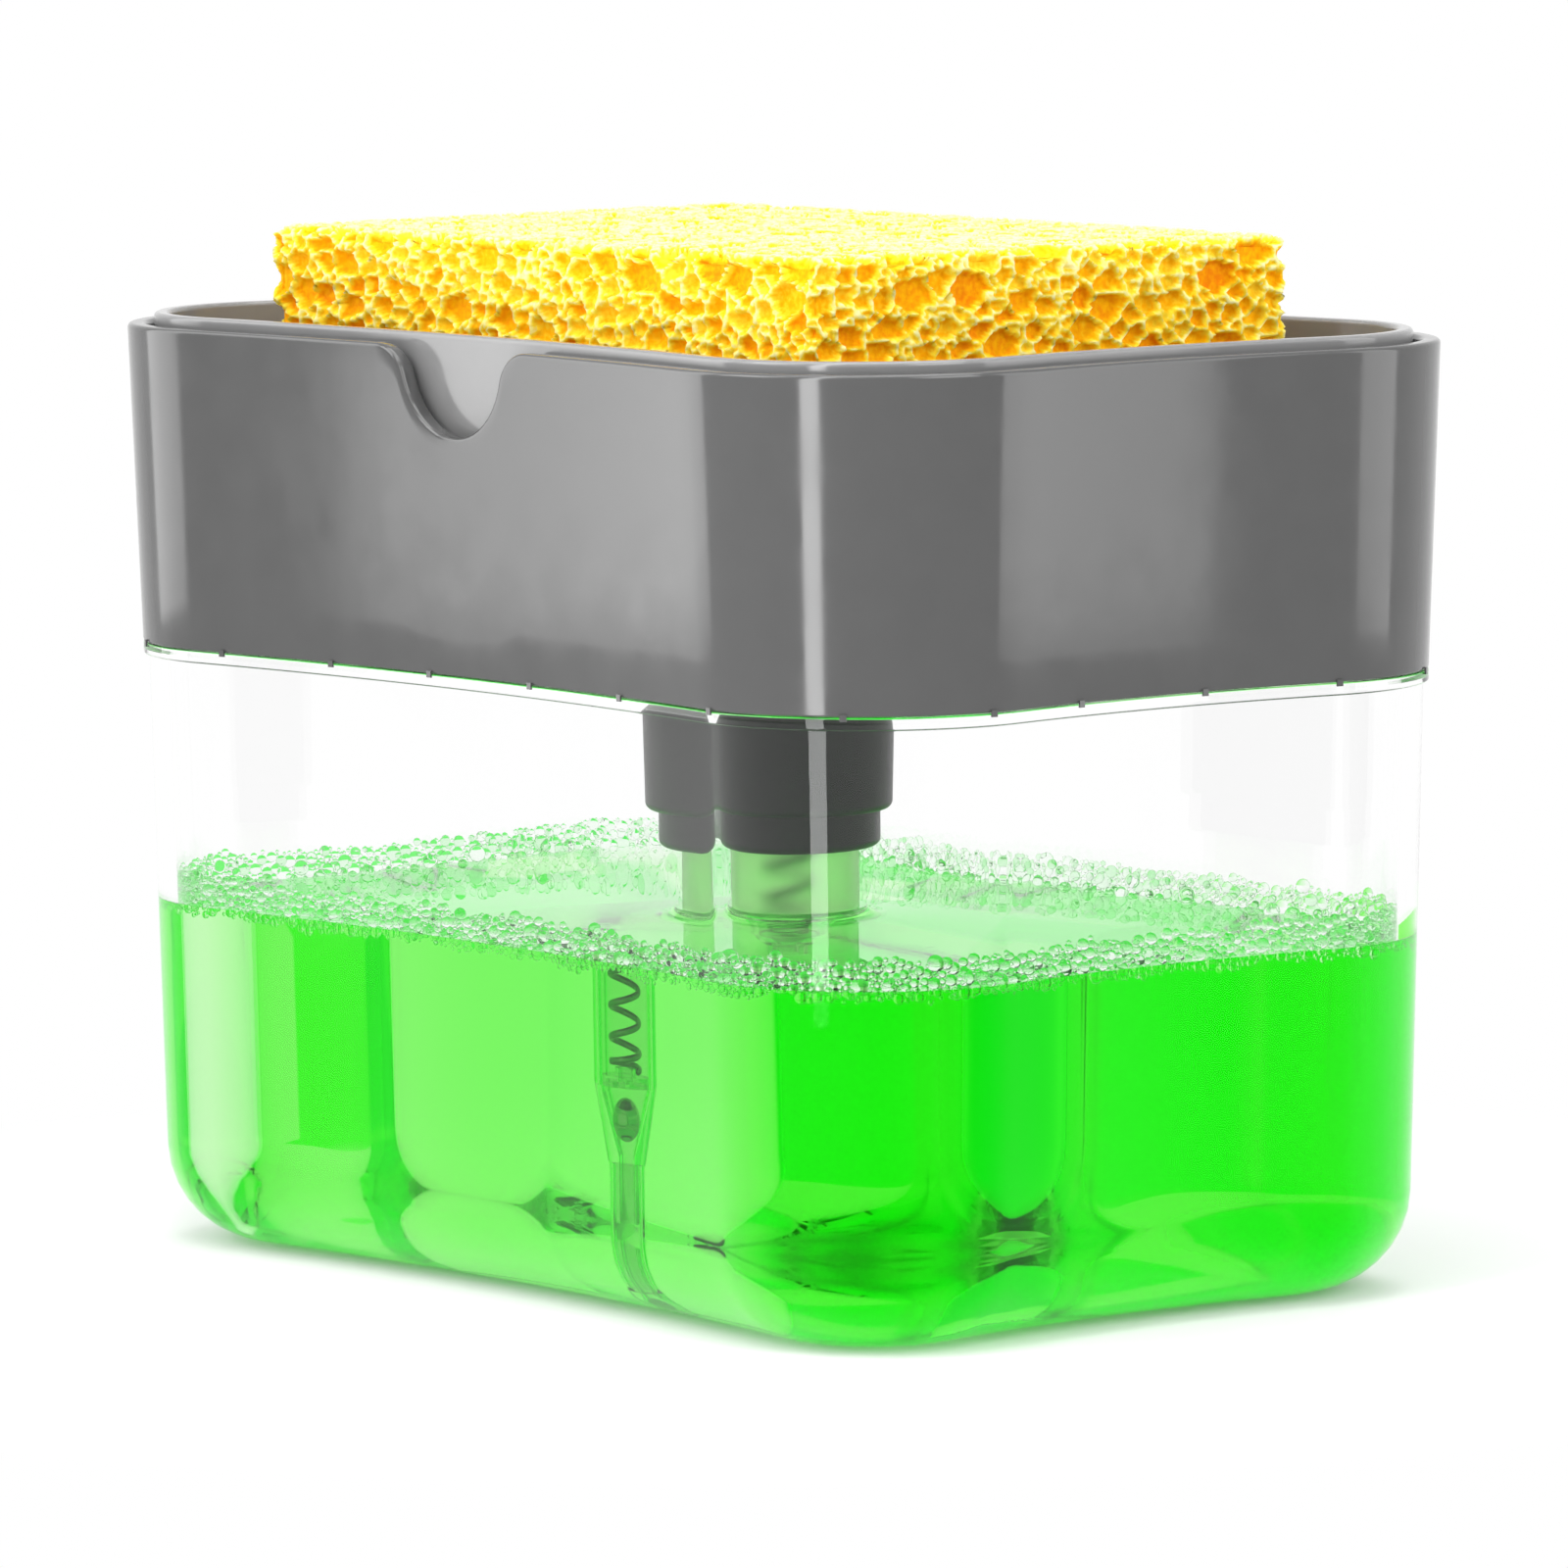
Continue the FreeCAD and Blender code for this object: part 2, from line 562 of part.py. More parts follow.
def make_sponge():
    body = new_body("sponge")
    outline = new_sketch(body, "sponge_outline", height=SPONGE_LOW)
    left, right = f"-{SPONGE_LENGTH} / 2", f"{SPONGE_LENGTH} / 2"
    front, back = f"-{SPONGE_WIDTH} / 2", f"{SPONGE_WIDTH} / 2"
    polygon(outline, [(left, front), (right, front), (right, back), (left, back)])
    padded(body, "sponge_block", outline, "sponge_height")
    rounded(body, "sponge_corners", "sponge_corner_radius",
            lambda edge: edge.BoundBox.ZLength > value("sponge_height") / 2)
    low, top = value(SPONGE_LOW), value(f"{SPONGE_LOW} + sponge_height")
    rounded(body, "sponge_edges", "sponge_edge_radius",
            lambda edge: flat_at(edge, low) or flat_at(edge, top))
    return body


def make_collar():
    fit = f"({CHAMBER_OUTER} + barrel_fit)"
    waist = "(collar_radius - collar_taper)"
    body = turned("collar_nut", [
        (fit, COLLAR_LOW), ("collar_nose_radius", COLLAR_LOW), ("collar_nose_radius", COLLAR_STEP),
        (waist, COLLAR_STEP), ("collar_radius", COLLAR_TOP), (COLLAR_BORE, COLLAR_TOP),
        (COLLAR_BORE, COLLAR_STEP), (fit, COLLAR_STEP)])
    nose, foot, step = value("collar_nose_radius"), value(COLLAR_LOW), value(COLLAR_STEP)
    shoulder = value(waist)
    rounded(body, "collar_rounds", "collar_round",
            lambda edge: ring_at(edge, nose, foot) or ring_at(edge, shoulder, step))
    return body


def make_barrel():
    """Flanged chamber for the piston, a narrower spring bore, and a cone that seats the inlet ball."""
    body = turned("pump_barrel", [
        ("chamber_radius", BARREL_TOP), ("barrel_flange_radius", BARREL_TOP),
        ("barrel_flange_radius", COLLAR_STEP), (CHAMBER_OUTER, COLLAR_STEP), (CHAMBER_OUTER, SHOULDER),
        (LOWER_OUTER, SHOULDER), (LOWER_OUTER, CONE_TOP), ("cone_foot_radius", CONE_LOW),
        ("nipple_radius", CONE_LOW), ("nipple_radius", NIPPLE_LOW), ("nipple_bore_radius", NIPPLE_LOW),
        ("nipple_bore_radius", VALVE_LOW), (VALVE_BORE, VALVE_TOP), (VALVE_BORE, CAGE_LOW),
        ("spring_bore_radius", CAGE_LOW), ("spring_bore_radius", CHAMBER_FLOOR),
        ("chamber_radius", CHAMBER_FLOOR)])
    outer, lower, shoulder = value(CHAMBER_OUTER), value(LOWER_OUTER), value(SHOULDER)
    rounded(body, "barrel_shoulder", "barrel_round",
            lambda edge: ring_at(edge, outer, shoulder) or ring_at(edge, lower, shoulder))
    return body


def make_dip_tube():
    """Tube pushed over the barrel's nipple, its foot cut on a slant so that it can't seal on the floor."""
    bore = "(nipple_radius + tube_fit)"
    body = turned("dip_tube", [(bore, TUBE_LOW), ("tube_radius", TUBE_LOW), ("tube_radius", CONE_LOW),
                               (bore, CONE_LOW)])
    slant = new_sketch(body, "tube_slant_outline", role="XZ_Plane")
    under = f"({TUBE_LOW} - overrun)"
    polygon(slant, [("-tube_radius", TUBE_LOW), ("-tube_radius", under), ("2 * tube_radius", under),
                    ("2 * tube_radius", f"({TUBE_LOW} + tube_radius)")])
    cut = padded(body, "tube_slant", slant, "4 * tube_radius", kind="Pocket")
    cut.Midplane = True
    return body


def make_guide():
    return turned("stem_guide", [
        (GUIDE_BORE, BARREL_TOP), ("barrel_flange_radius", BARREL_TOP), ("barrel_flange_radius", GUIDE_TOP),
        ("guide_sleeve_radius", GUIDE_TOP), ("guide_sleeve_radius", SLEEVE_TOP), (GUIDE_BORE, SLEEVE_TOP)])


def make_gasket():
    inner = "(barrel_flange_radius - gasket_land)"
    return turned("barrel_gasket", [
        (inner, GUIDE_TOP), ("barrel_flange_radius", GUIDE_TOP), ("barrel_flange_radius", NECK_LOW),
        (inner, NECK_LOW)])


def make_stem():
    """Hollow stem with a spigot for the piston and a conical seat for the outlet ball."""
    return turned("plunger_stem", [
        ("stem_bore_radius", PISTON_LOW), ("stem_spigot_radius", PISTON_LOW),
        ("stem_spigot_radius", PISTON_TOP), ("stem_radius", PISTON_TOP), ("stem_radius", STEM_TOP),
        ("stem_upper_bore_radius", STEM_TOP), ("stem_upper_bore_radius", STEM_SEAT_TOP),
        ("stem_bore_radius", STEM_SEAT_LOW)])


def make_head():
    """Disc that carries the tray, with a nozzle through the tray floor and a stop above the outlet ball."""
    socket_top = f"({HUB_LOW} + socket_depth)"
    nozzle_top = f"({HEAD_TOP} + nozzle_height)"
    body = turned("plunger_head", [
        ("nozzle_bore_radius", nozzle_top), ("nozzle_radius", nozzle_top), ("nozzle_radius", HEAD_TOP),
        ("head_radius", HEAD_TOP), ("head_radius", HEAD_LOW), ("hub_radius", HEAD_LOW),
        ("hub_radius", HUB_LOW), (GUIDE_BORE, HUB_LOW), (GUIDE_BORE, socket_top),
        ("ball_stop_radius", socket_top), ("ball_stop_radius", BALL_STOP), ("nozzle_bore_radius", BALL_STOP)])
    slot = new_sketch(body, "flow_slot_outline", role="XZ_Plane")
    across = "nozzle_bore_radius / 2"
    low, high = f"({BALL_STOP} - overrun)", f"({BALL_STOP} + nozzle_bore_radius)"
    polygon(slot, [(f"-{across}", low), (across, low), (across, high), (f"-{across}", high)])
    cut = padded(body, "flow_slot", slot, "4 * ball_stop_radius", kind="Pocket")
    cut.Midplane = True
    rim, top, low_rim = value("head_radius"), value(HEAD_TOP), value(HEAD_LOW)
    rounded(body, "head_rounds", "rim_round",
            lambda edge: ring_at(edge, rim, top) or ring_at(edge, rim, low_rim))
    return body


def make_piston():
    """Double-lipped ring: the lips run on the barrel, the waist between them stays clear."""
    lip = "(chamber_radius - running_fit)"
    inner = "(stem_spigot_radius + running_fit)"
    waist = f"({lip} - piston_waist)"
    middle = f"(({PISTON_LOW} + {PISTON_TOP}) / 2)"
    web_low, web_high = f"({middle} - piston_web / 2)", f"({middle} + piston_web / 2)"
    edge = f"({lip} - piston_lip)"
    return turned("piston_seal", [
        (inner, PISTON_LOW), ("piston_hub_radius", PISTON_LOW), ("piston_hub_radius", web_low),
        ("piston_ring_radius", web_low), (edge, PISTON_LOW), (lip, PISTON_LOW), (waist, middle),
        (lip, PISTON_TOP), (edge, PISTON_TOP), ("piston_ring_radius", web_high),
        ("piston_hub_radius", web_high), ("piston_hub_radius", PISTON_TOP), (inner, PISTON_TOP)])


def make_spring_seat():
    """Plug in the foot of the stem: it holds the piston from below and centres the spring."""
    spigot = "(stem_bore_radius - running_fit)"
    top = f"({PISTON_LOW} + spring_seat_spigot_length)"
    post = f"({SEAT_LOW} - spring_post_length)"
    return turned("spring_seat", [
        ("spring_seat_bore_radius", post), ("spring_post_radius", post), ("spring_post_radius", SEAT_LOW),
        ("spring_seat_radius", SEAT_LOW), ("spring_seat_radius", PISTON_LOW), (spigot, PISTON_LOW),
        (spigot, top), ("spring_seat_bore_radius", top)])


def make_cage():
    """Ring above the inlet ball, with crossed slots that let soap past the lifted ball."""
    rim = "(spring_bore_radius - running_fit)"
    post = f"({CAGE_TOP} + spring_post_length / 2)"
    body = turned("ball_cage", [
        ("cage_bore_radius", CAGE_LOW), (rim, CAGE_LOW), (rim, CAGE_TOP), ("spring_post_radius", CAGE_TOP),
        ("spring_post_radius", post), ("cage_bore_radius", post)])
    for name, along, across in (("slot_x", "cage_slot_length", "cage_slot_width"),
                                ("slot_y", "cage_slot_width", "cage_slot_length")):
        slot = new_sketch(body, f"{name}_outline", height=CAGE_LOW)
        left, right, front, back = f"-{along} / 2", f"{along} / 2", f"-{across} / 2", f"{across} / 2"
        polygon(slot, [(left, front), (right, front), (right, back), (left, back)])
        padded(body, name, slot, "cage_slot_depth", kind="Pocket", reverse=True)
    return body


def make_ball(label, radius, height):
    ball = doc.addObject("Part::Sphere", label)
    ball.Label = label
    ball.setExpression("Radius", bound(radius))
    ball.setExpression("Placement.Base.z", bound(height))
    return ball


def spring_stations():
    """Points and tangents of the coil at each quarter turn: close end turns and an open middle."""
    radius = value("spring_radius - wire_radius")
    low, top = value(f"{SPRING_LOW} + wire_radius"), value(f"{SPRING_TOP} - wire_radius")
    end = [0.0] * DEAD_QUARTERS + [RAMP_SHARE] * RAMP_QUARTERS
    weights = end + [1.0] * ACTIVE_QUARTERS + end[::-1]
    dead = value("dead_pitch") / 4
    extra = (top - low - dead * len(weights)) / sum(weights)
    steps = [dead + extra * weight for weight in weights]
    stations = []
    height = low
    for index in range(len(steps) + 1):
        angle = index * math.pi / 2
        slope = (steps[max(index - 1, 0)] + steps[min(index, len(steps) - 1)]) / math.pi
        point = FreeCAD.Vector(radius * math.cos(angle), radius * math.sin(angle), height)
        tangent = FreeCAD.Vector(-radius * math.sin(angle), radius * math.cos(angle), slope)
        stations.append((point, tangent.normalize()))
        height += steps[min(index, len(steps) - 1)]
    return stations


def tangent_arc(start, corner, end):
    """Arc that touches both legs of the corner between its ends."""
    leg, other = corner - start, end - corner
    turn = leg.getAngle(other)
    chord = (start + end) / 2 - corner
    return Part.Arc(start, corner + chord.normalize() * (leg.Length * math.tan(turn / 4)), end)


def biarc(first, last):
    """Two arcs with a common tangent between two stations of the coil."""
    (start, leaving), (end, arriving) = first, last
    gap, both = end - start, leaving + arriving
    spread = 2 * (1 - leaving.dot(arriving))
    along = gap.dot(both)
    reach = (math.sqrt(along ** 2 + spread * gap.dot(gap)) - along) / spread
    joint = (start + end + (leaving - arriving) * reach) / 2
    return [tangent_arc(start, start + leaving * reach, joint),
            tangent_arc(joint, end - arriving * reach, end)]


def least_gap(arcs, radius, wire):
    """Least space between turns, from points along the centre line."""
    points = []
    for piece in arcs:
        span = piece.LastParameter - piece.FirstParameter
        shares = [index / SPRING_SAMPLES for index in range(SPRING_SAMPLES)]
        points += [piece.value(piece.FirstParameter + span * share) for share in shares]
    half_turn = math.pi * radius
    walked = [0.0]
    for before, after in zip(points, points[1:]):
        walked.append(walked[-1] + before.distanceToPoint(after))
    gaps = [points[i].distanceToPoint(points[j]) for i in range(len(points)) for j in range(i)
            if walked[i] - walked[j] > half_turn]
    return min(gaps) - 2 * wire


def make_spring():
    radius, wire = value("spring_radius - wire_radius"), value("wire_radius")
    stations = spring_stations()
    arcs = [piece for pair in zip(stations, stations[1:]) for piece in biarc(*pair)]
    path = Part.Wire([piece.toShape() for piece in arcs])
    point, tangent = stations[0]
    section = Part.Wire([Part.Circle(point, tangent, wire).toShape()])
    shell = Part.BRepOffsetAPI.MakePipeShell(path)
    shell.add(section)
    shell.build()
    shell.makeSolid()
    gap = least_gap(arcs, radius, wire)
    print(f"return_spring: least gap between turns {gap:.2f} mm")
    if gap < LEAST_SPRING_GAP_SHARE * 2 * wire:
        raise ValueError("the spring's turns are too close")
    spring = doc.addObject("Part::Feature", "return_spring")
    spring.Label = "return_spring"
    spring.Shape = shell.shape()
    spring.Placement = FreeCAD.Placement()
    return spring


def main():
    pieces = [
        make_reservoir(), make_soap(), make_housing(), make_tray(), make_sponge(),
        make_collar(), make_gasket(), make_guide(), make_barrel(), make_dip_tube(),
        make_cage(), make_spring(), make_spring_seat(), make_piston(), make_stem(), make_head(),
        make_ball("inlet_ball", "inlet_ball_radius", INLET_BALL),
        make_ball("outlet_ball", "outlet_ball_radius", OUTLET_BALL),
    ]
    doc.recompute()
    failed = [item.Name for item in doc.Objects if {"Invalid", "Error"} & set(item.State)]
    broken = [piece.Label for piece in pieces if piece.Shape.isNull() or not piece.Shape.isValid()]
    if failed or broken:
        raise RuntimeError(f"failed objects {failed}, broken shapes {broken}")
    for piece in pieces:
        print(f"{piece.Label}: {len(piece.Shape.Solids)} solid, {piece.Shape.Volume:.1f} mm3")
        piece.Shape.exportStep(f"parts/{piece.Label}.step")


main()
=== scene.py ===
import math
import random

import bmesh
import bpy
from bpy.props import FloatProperty, FloatVectorProperty, IntProperty, PointerProperty
from mathutils import Matrix, Vector, kdtree, noise


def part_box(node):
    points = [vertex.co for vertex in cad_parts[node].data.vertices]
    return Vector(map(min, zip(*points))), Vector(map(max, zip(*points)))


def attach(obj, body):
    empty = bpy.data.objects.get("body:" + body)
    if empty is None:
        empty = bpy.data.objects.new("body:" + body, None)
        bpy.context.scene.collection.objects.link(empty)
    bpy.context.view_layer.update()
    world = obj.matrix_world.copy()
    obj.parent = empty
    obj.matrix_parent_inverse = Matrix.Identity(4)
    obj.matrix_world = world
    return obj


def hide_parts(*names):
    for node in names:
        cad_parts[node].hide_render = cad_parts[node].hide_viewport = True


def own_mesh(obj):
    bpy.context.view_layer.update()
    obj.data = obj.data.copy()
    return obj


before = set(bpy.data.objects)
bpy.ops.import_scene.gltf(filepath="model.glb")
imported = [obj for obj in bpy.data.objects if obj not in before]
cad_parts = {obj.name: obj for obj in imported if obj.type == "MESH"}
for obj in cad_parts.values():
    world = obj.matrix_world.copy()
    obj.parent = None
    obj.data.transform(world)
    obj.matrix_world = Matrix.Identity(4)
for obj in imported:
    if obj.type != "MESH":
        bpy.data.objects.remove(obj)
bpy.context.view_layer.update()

bl_info = {
    "name": "Soap pump caddy",
    "version": (1, 0, 0),
    "blender": (4, 5, 0),
    "location": "View3D > Sidebar > Caddy",
    "description": "Models and finishes a sponge-top soap pump around its packed parts",
    "category": "Object",
}


def linear(code):
    """Linear colour, with full alpha, of an sRGB hex value."""
    shares = [int(code[i:i + 2], 16) / 255 for i in (1, 3, 5)]
    return tuple(s / 12.92 if s <= 0.04045 else ((s + 0.055) / 1.055) ** 2.4 for s in shares) + (1.0,)


def length(name, description, default):
    """A size in metres that the panel shows."""
    return FloatProperty(name=name, description=description, default=default, unit="LENGTH", precision=5)


def colour(name, description, code):
    """A surface colour that the panel shows."""
    return FloatVectorProperty(name=name, description=description, default=linear(code), size=4,
                               subtype="COLOR", min=0.0, max=1.0)


HOUSING_LOW, HOUSING_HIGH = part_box("upper_housing")
SPONGE_LOW, SPONGE_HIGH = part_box("sponge")
SPRING_LOW, SPRING_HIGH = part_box("return_spring")
TANK_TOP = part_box("reservoir")[1].z
SOAP_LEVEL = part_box("soap_fill")[1].z
BARREL_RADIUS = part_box("pump_barrel")[1].y


class CaddyShape(bpy.types.PropertyGroup):
    """Sizes that the shells share."""
    corner_radius: length("Corner radius", "Radius of the rim outline's four corners", 0.021)
    long_sag: length("Long side sag", "How far the long sides bow inwards", 0.003)
    short_sag: length("Short side sag", "How far the short sides bow inwards", 0.0019)
    housing_foot: length("Housing foot", "Height of the housing's lower edge", 0.0638)
    housing_wall: length("Housing wall", "Wall thickness of the housing", 0.002)
    housing_draft: length("Housing draft", "How much narrower the housing is at its foot", 0.00125)
    rim_round: length("Rim rounding", "Rounding of the housing's top edge", 0.0005)
    lap_wall: length("Lap wall", "Thickness of the housing's edge around the tank's lip", 0.001)
    deck_low: length("Deck underside", "Height of the housing deck's underside", 0.0674)
    deck_high: length("Deck top", "Height of the housing deck's top", 0.0694)
    neck_radius: length("Neck radius", "Outer radius of the neck under the deck", 0.0102)
    neck_bore: length("Neck bore", "Inner radius of the neck", 0.0078)
    notch_width: length("Notch width", "Width of the finger notch where it meets the rim", 0.0246)
    notch_depth: length("Notch depth", "Depth of the finger notch", 0.00915)
    notch_shoulder: length("Notch shoulder", "Radius where the notch runs out into the rim", 0.0045)
    flange_low: length("Flange underside", "Height of the tank flange's underside", 0.0625)
    flange_high: length("Flange top", "Height of the tank flange's top", 0.0637)
    flange_overhang: length("Flange overhang", "How far the flange stands out from the tank wall", 0.00055)
    lap_clearance: length("Lap clearance", "Gap between the tank's lip and the housing", 0.0003)
    tank_wall: length("Tank wall", "Wall thickness of the tank", 0.002)
    tank_draft: length("Tank draft", "How much narrower the tank is at its foot", 0.00156)
    foot_radius: length("Foot radius", "Rounding of the tank's foot", 0.0105)
    chamber_radius: length("Barrel chamber", "Inner radius of the pump barrel's chamber", 0.0073)
    chamber_floor: length("Chamber floor", "Height of the barrel chamber's floor", 0.0364)
    barrel_wall: length("Barrel wall", "Wall thickness of the pump barrel", 0.0012)


class CaddySponge(bpy.types.PropertyGroup):
    """Grain of the sponge."""
    voxel: length("Grain", "Spacing of the sponge's surface points", 0.00035)
    seed: IntProperty(name="Seed", description="Start of the random pore places", default=7)
    pore_warp: length("Pore warp", "How far pore outlines stray from round", 0.0005)


class CaddyColours(bpy.types.PropertyGroup):
    """Colours of the finishes."""
    housing: colour("Housing", "Grey of the housing", "#494949")
    # Painted light: the tray's grey is lighter than the housing's, of the same plastic, for the light that
    # falls on it in the notch
    tray: colour("Tray", "Grey of the press tray", "#808080")
    collar: colour("Collar", "Dark grey of the collar nut", "#161A16")
    sponge_wall: colour("Sponge wall", "Sponge between its pores", "#FFF8B0")
    # Painted shade: the colour deep in the sponge's pores, the dark end of its painted pore shade
    sponge_pit_shade: colour("Sponge pit", "Bottom of the sponge's pores", "#F28600")
    foam: colour("Foam", "Bubbles on the soap", "#FBFFFB")


def sizes():
    return bpy.context.scene.caddy_shape


def colours():
    return bpy.context.scene.caddy_colours


# Outline of the waisted shells

CORNER_STEPS = 20
SHORT_STEPS = 24
LONG_STEPS = 40
NOTCH_STEPS = 12


class Outline:
    """The rim outline as points with outward normals, so that any inset outline is parallel to it.

    Its sides are arcs about far centres, right of it and behind it.
    """

    def __init__(self, shape):
        self.radius = shape.corner_radius
        p, q = self.corner = HOUSING_HIGH.x - self.radius, HOUSING_HIGH.y - self.radius
        self.right = p + q ** 2 / (2 * shape.short_sag) - shape.short_sag / 2
        self.back = q + p ** 2 / (2 * shape.long_sag) - shape.long_sag / 2
        self.short_radius = math.hypot(self.right - p, q) - self.radius
        self.long_radius = math.hypot(p, self.back - q) - self.radius
        self.short_lean = math.atan2(q, self.right - p)
        self.long_lean = math.atan2(p, self.back - q)

    def short_side(self, lean, side):
        normal = Vector((side * math.cos(lean), -math.sin(lean), 0))
        return Vector((side * self.right, 0, 0)) - normal * self.short_radius, normal

    def long_side(self, lean, side):
        normal = Vector((-math.sin(lean), side * math.cos(lean), 0))
        return Vector((0, side * self.back, 0)) - normal * self.long_radius, normal

    def front_at(self, across):
        """Point and normal of the front side at a distance across it."""
        return self.long_side(math.asin(across / self.long_radius), -1)

    def corner_point(self, angle, side_x, side_y):
        normal = Vector((math.cos(angle), math.sin(angle), 0))
        return Vector((side_x * self.corner[0], side_y * self.corner[1], 0)) + normal * self.radius, normal

    def stations(self, density=1, front=None):
        """Points and normals, counter-clockwise from the +X side. A front side of its own may be given."""
        corner, short, long = (density * steps for steps in (CORNER_STEPS, SHORT_STEPS, LONG_STEPS))
        a, b = self.short_lean, self.long_lean
        right, back, left, front_turn, whole = (quarter * math.pi / 2 for quarter in range(5))
        spots = [self.short_side(lean, 1) for lean in spread(-a, a, short)]
        spots += [self.corner_point(angle, 1, 1) for angle in spread(right - a, back + b, corner)]
        spots += [self.long_side(lean, 1) for lean in spread(b, -b, long)]
        spots += [self.corner_point(angle, -1, 1) for angle in spread(back - b, left + a, corner)]
        spots += [self.short_side(lean, -1) for lean in spread(a, -a, short)]
        spots += [self.corner_point(angle, -1, -1) for angle in spread(left - a, front_turn + b, corner)]
        spots += front or [self.long_side(lean, -1) for lean in spread(-b, b, long)]
        spots += [self.corner_point(angle, 1, -1) for angle in spread(front_turn - b, whole + a, corner)]
        return spots


def spread(start, end, count):
    """Evenly spaced values from start up to, but without, end."""
    return [start + (end - start) * i / count for i in range(count)]


def ring(spots, inset, height):
    """The outline set in by a distance, at a height."""
    return [point - normal * inset + Vector((0, 0, height)) for point, normal in spots]


def round_ring(spots, radius, height):
    """A circle about the pump's axis with a point for each spot of the outline."""
    lift = Vector((0, 0, height))
    return [Vector((point.x, point.y, 0)).normalized() * radius + lift for point, normal in spots]


def rounded_path(corners, step=math.radians(12)):
    """Path of (inset, height) points through corners of (inset, height, radius), rounded by the radius."""
    path = []
    for index, (across, up, radius) in enumerate(corners):
        here = Vector((across, up))
        if not radius or index in (0, len(corners) - 1):
            path.append(here)
            continue
        before = (Vector(corners[index - 1][:2]) - here).normalized()
        after = (Vector(corners[index + 1][:2]) - here).normalized()
        half = before.angle(after) / 2
        middle = here + (before + after).normalized() * (radius / math.sin(half))
        start = here + before * (radius / math.tan(half)) - middle
        end = here + after * (radius / math.tan(half)) - middle
        turn = start.angle_signed(end)
        count = max(2, math.ceil(abs(turn) / step))
        path += [middle + Matrix.Rotation(-turn * i / count, 2) @ start for i in range(count + 1)]
    return path


# Mesh helpers

WELD = 1e-6


def deselect():
    if bpy.context.object and bpy.context.object.mode != "OBJECT":
        bpy.ops.object.mode_set(mode="OBJECT")
    bpy.ops.object.select_all(action="DESELECT")


def lofted(name, rings, capped=False):
    """Skin through rings of as many points each: a grid wrapped round them and welded."""
    deselect()
    bpy.ops.mesh.primitive_grid_add(x_subdivisions=len(rings[0]), y_subdivisions=len(rings) - 1)
    piece = bpy.context.object
    piece.name = piece.data.name = name
    wrapped = [point for row in rings for point in row + row[:1]]
    piece.matrix_world = Matrix.Identity(4)
    piece.data.vertices.foreach_set("co", [value for point in wrapped for value in point])
    weld(piece, [rings[0][0].z, rings[-1][0].z] if capped else [])
    return piece


def weld(piece, caps=()):
    """Join doubled points, close the open edges at the caps' heights and turn all faces outwards."""
    bpy.ops.object.mode_set(mode="EDIT")
    bpy.ops.mesh.select_all(action="SELECT")
    bpy.ops.mesh.remove_doubles(threshold=WELD)
    for height in caps:
        cap(piece, height)
    bpy.ops.mesh.select_all(action="SELECT")
    bpy.ops.mesh.normals_make_consistent(inside=False)
    if bmesh.from_edit_mesh(piece.data).calc_volume(signed=True) < 0:
        bpy.ops.mesh.flip_normals()
    bpy.ops.object.mode_set(mode="OBJECT")


def cap(piece, height):
    """Face over the open edge at a height."""
    bpy.ops.mesh.select_all(action="DESELECT")
    bpy.ops.mesh.select_mode(type="EDGE")
    bpy.ops.object.mode_set(mode="OBJECT")
    uses = [0] * len(piece.data.edges)
    for loop in piece.data.loops:
        uses[loop.edge_index] += 1
    for edge in piece.data.edges:
        level = all(abs(piece.data.vertices[i].co.z - height) < WELD for i in edge.vertices)
        edge.select = level and uses[edge.index] == 1
    bpy.ops.object.mode_set(mode="EDIT")
    bpy.ops.mesh.edge_face_add()


def pick(piece):
    """Select a piece alone."""
    deselect()
    bpy.context.view_layer.objects.active = piece
    piece.select_set(True)


def finish_piece(piece, material, body, slot, *nodes, angle=math.radians(35)):
    """Smooth a piece up to an angle, give it its material and body, and hide the parts it stands for."""
    pick(piece)
    bpy.ops.object.shade_smooth_by_angle(angle=angle)
    piece.data.materials.clear()
    piece.data.materials.append(material)
    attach(piece, body)
    if nodes:
        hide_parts(*nodes)


def apply_modifier(piece, kind, **settings):
    pick(piece)
    modifier = piece.modifiers.new(kind.title(), kind)
    for name, value in settings.items():
        setattr(modifier, name, value)
    bpy.ops.object.modifier_apply(modifier=modifier.name)


# Materials


def add_node(tree, kind, inputs=None, stops=(), **settings):
    """Add a shader node with its settings, ramp stops, socket values and links."""
    node = tree.nodes.new("ShaderNode" + kind)
    for name, value in settings.items():
        setattr(node, name, value)
    for index, (position, shade) in enumerate(stops):
        element = node.color_ramp.elements[index] if index < 2 else node.color_ramp.elements.new(position)
        element.position, element.color = position, shade
    for name, value in (inputs or {}).items():
        if isinstance(value, bpy.types.NodeSocket):
            tree.links.new(value, node.inputs[name])
        else:
            node.inputs[name].default_value = value
    return node


def new_material(name, **inputs):
    """A material whose shader has these socket values."""
    material = bpy.data.materials.new(name)
    material.use_nodes = True
    tree = material.node_tree
    shader = tree.nodes["Principled BSDF"]
    for socket, value in inputs.items():
        shader.inputs[socket.replace("_", " ")].default_value = value
    return material, tree, shader


def add_grain(tree, shader, size, height, stretch=(1, 1, 1)):
    """Fine bumps of a size and height on a surface. Returns their pattern, from 0 to 1."""
    place = add_node(tree, "TexCoord")
    scaled = add_node(tree, "Mapping", {
        "Vector": place.outputs["Object"], "Scale": [share / size for share in stretch]})
    pattern = add_node(tree, "TexNoise", {
        "Vector": scaled.outputs["Vector"], "Scale": 1.0, "Detail": 4.0})
    bump = add_node(tree, "Bump", {"Height": pattern.outputs["Fac"], "Strength": 1.0, "Distance": height})
    tree.links.new(bump.outputs["Normal"], shader.inputs["Normal"])
    return pattern.outputs["Fac"]


# Values that noise mostly stays between
NOISE_LOW, NOISE_HIGH = 0.3, 0.7


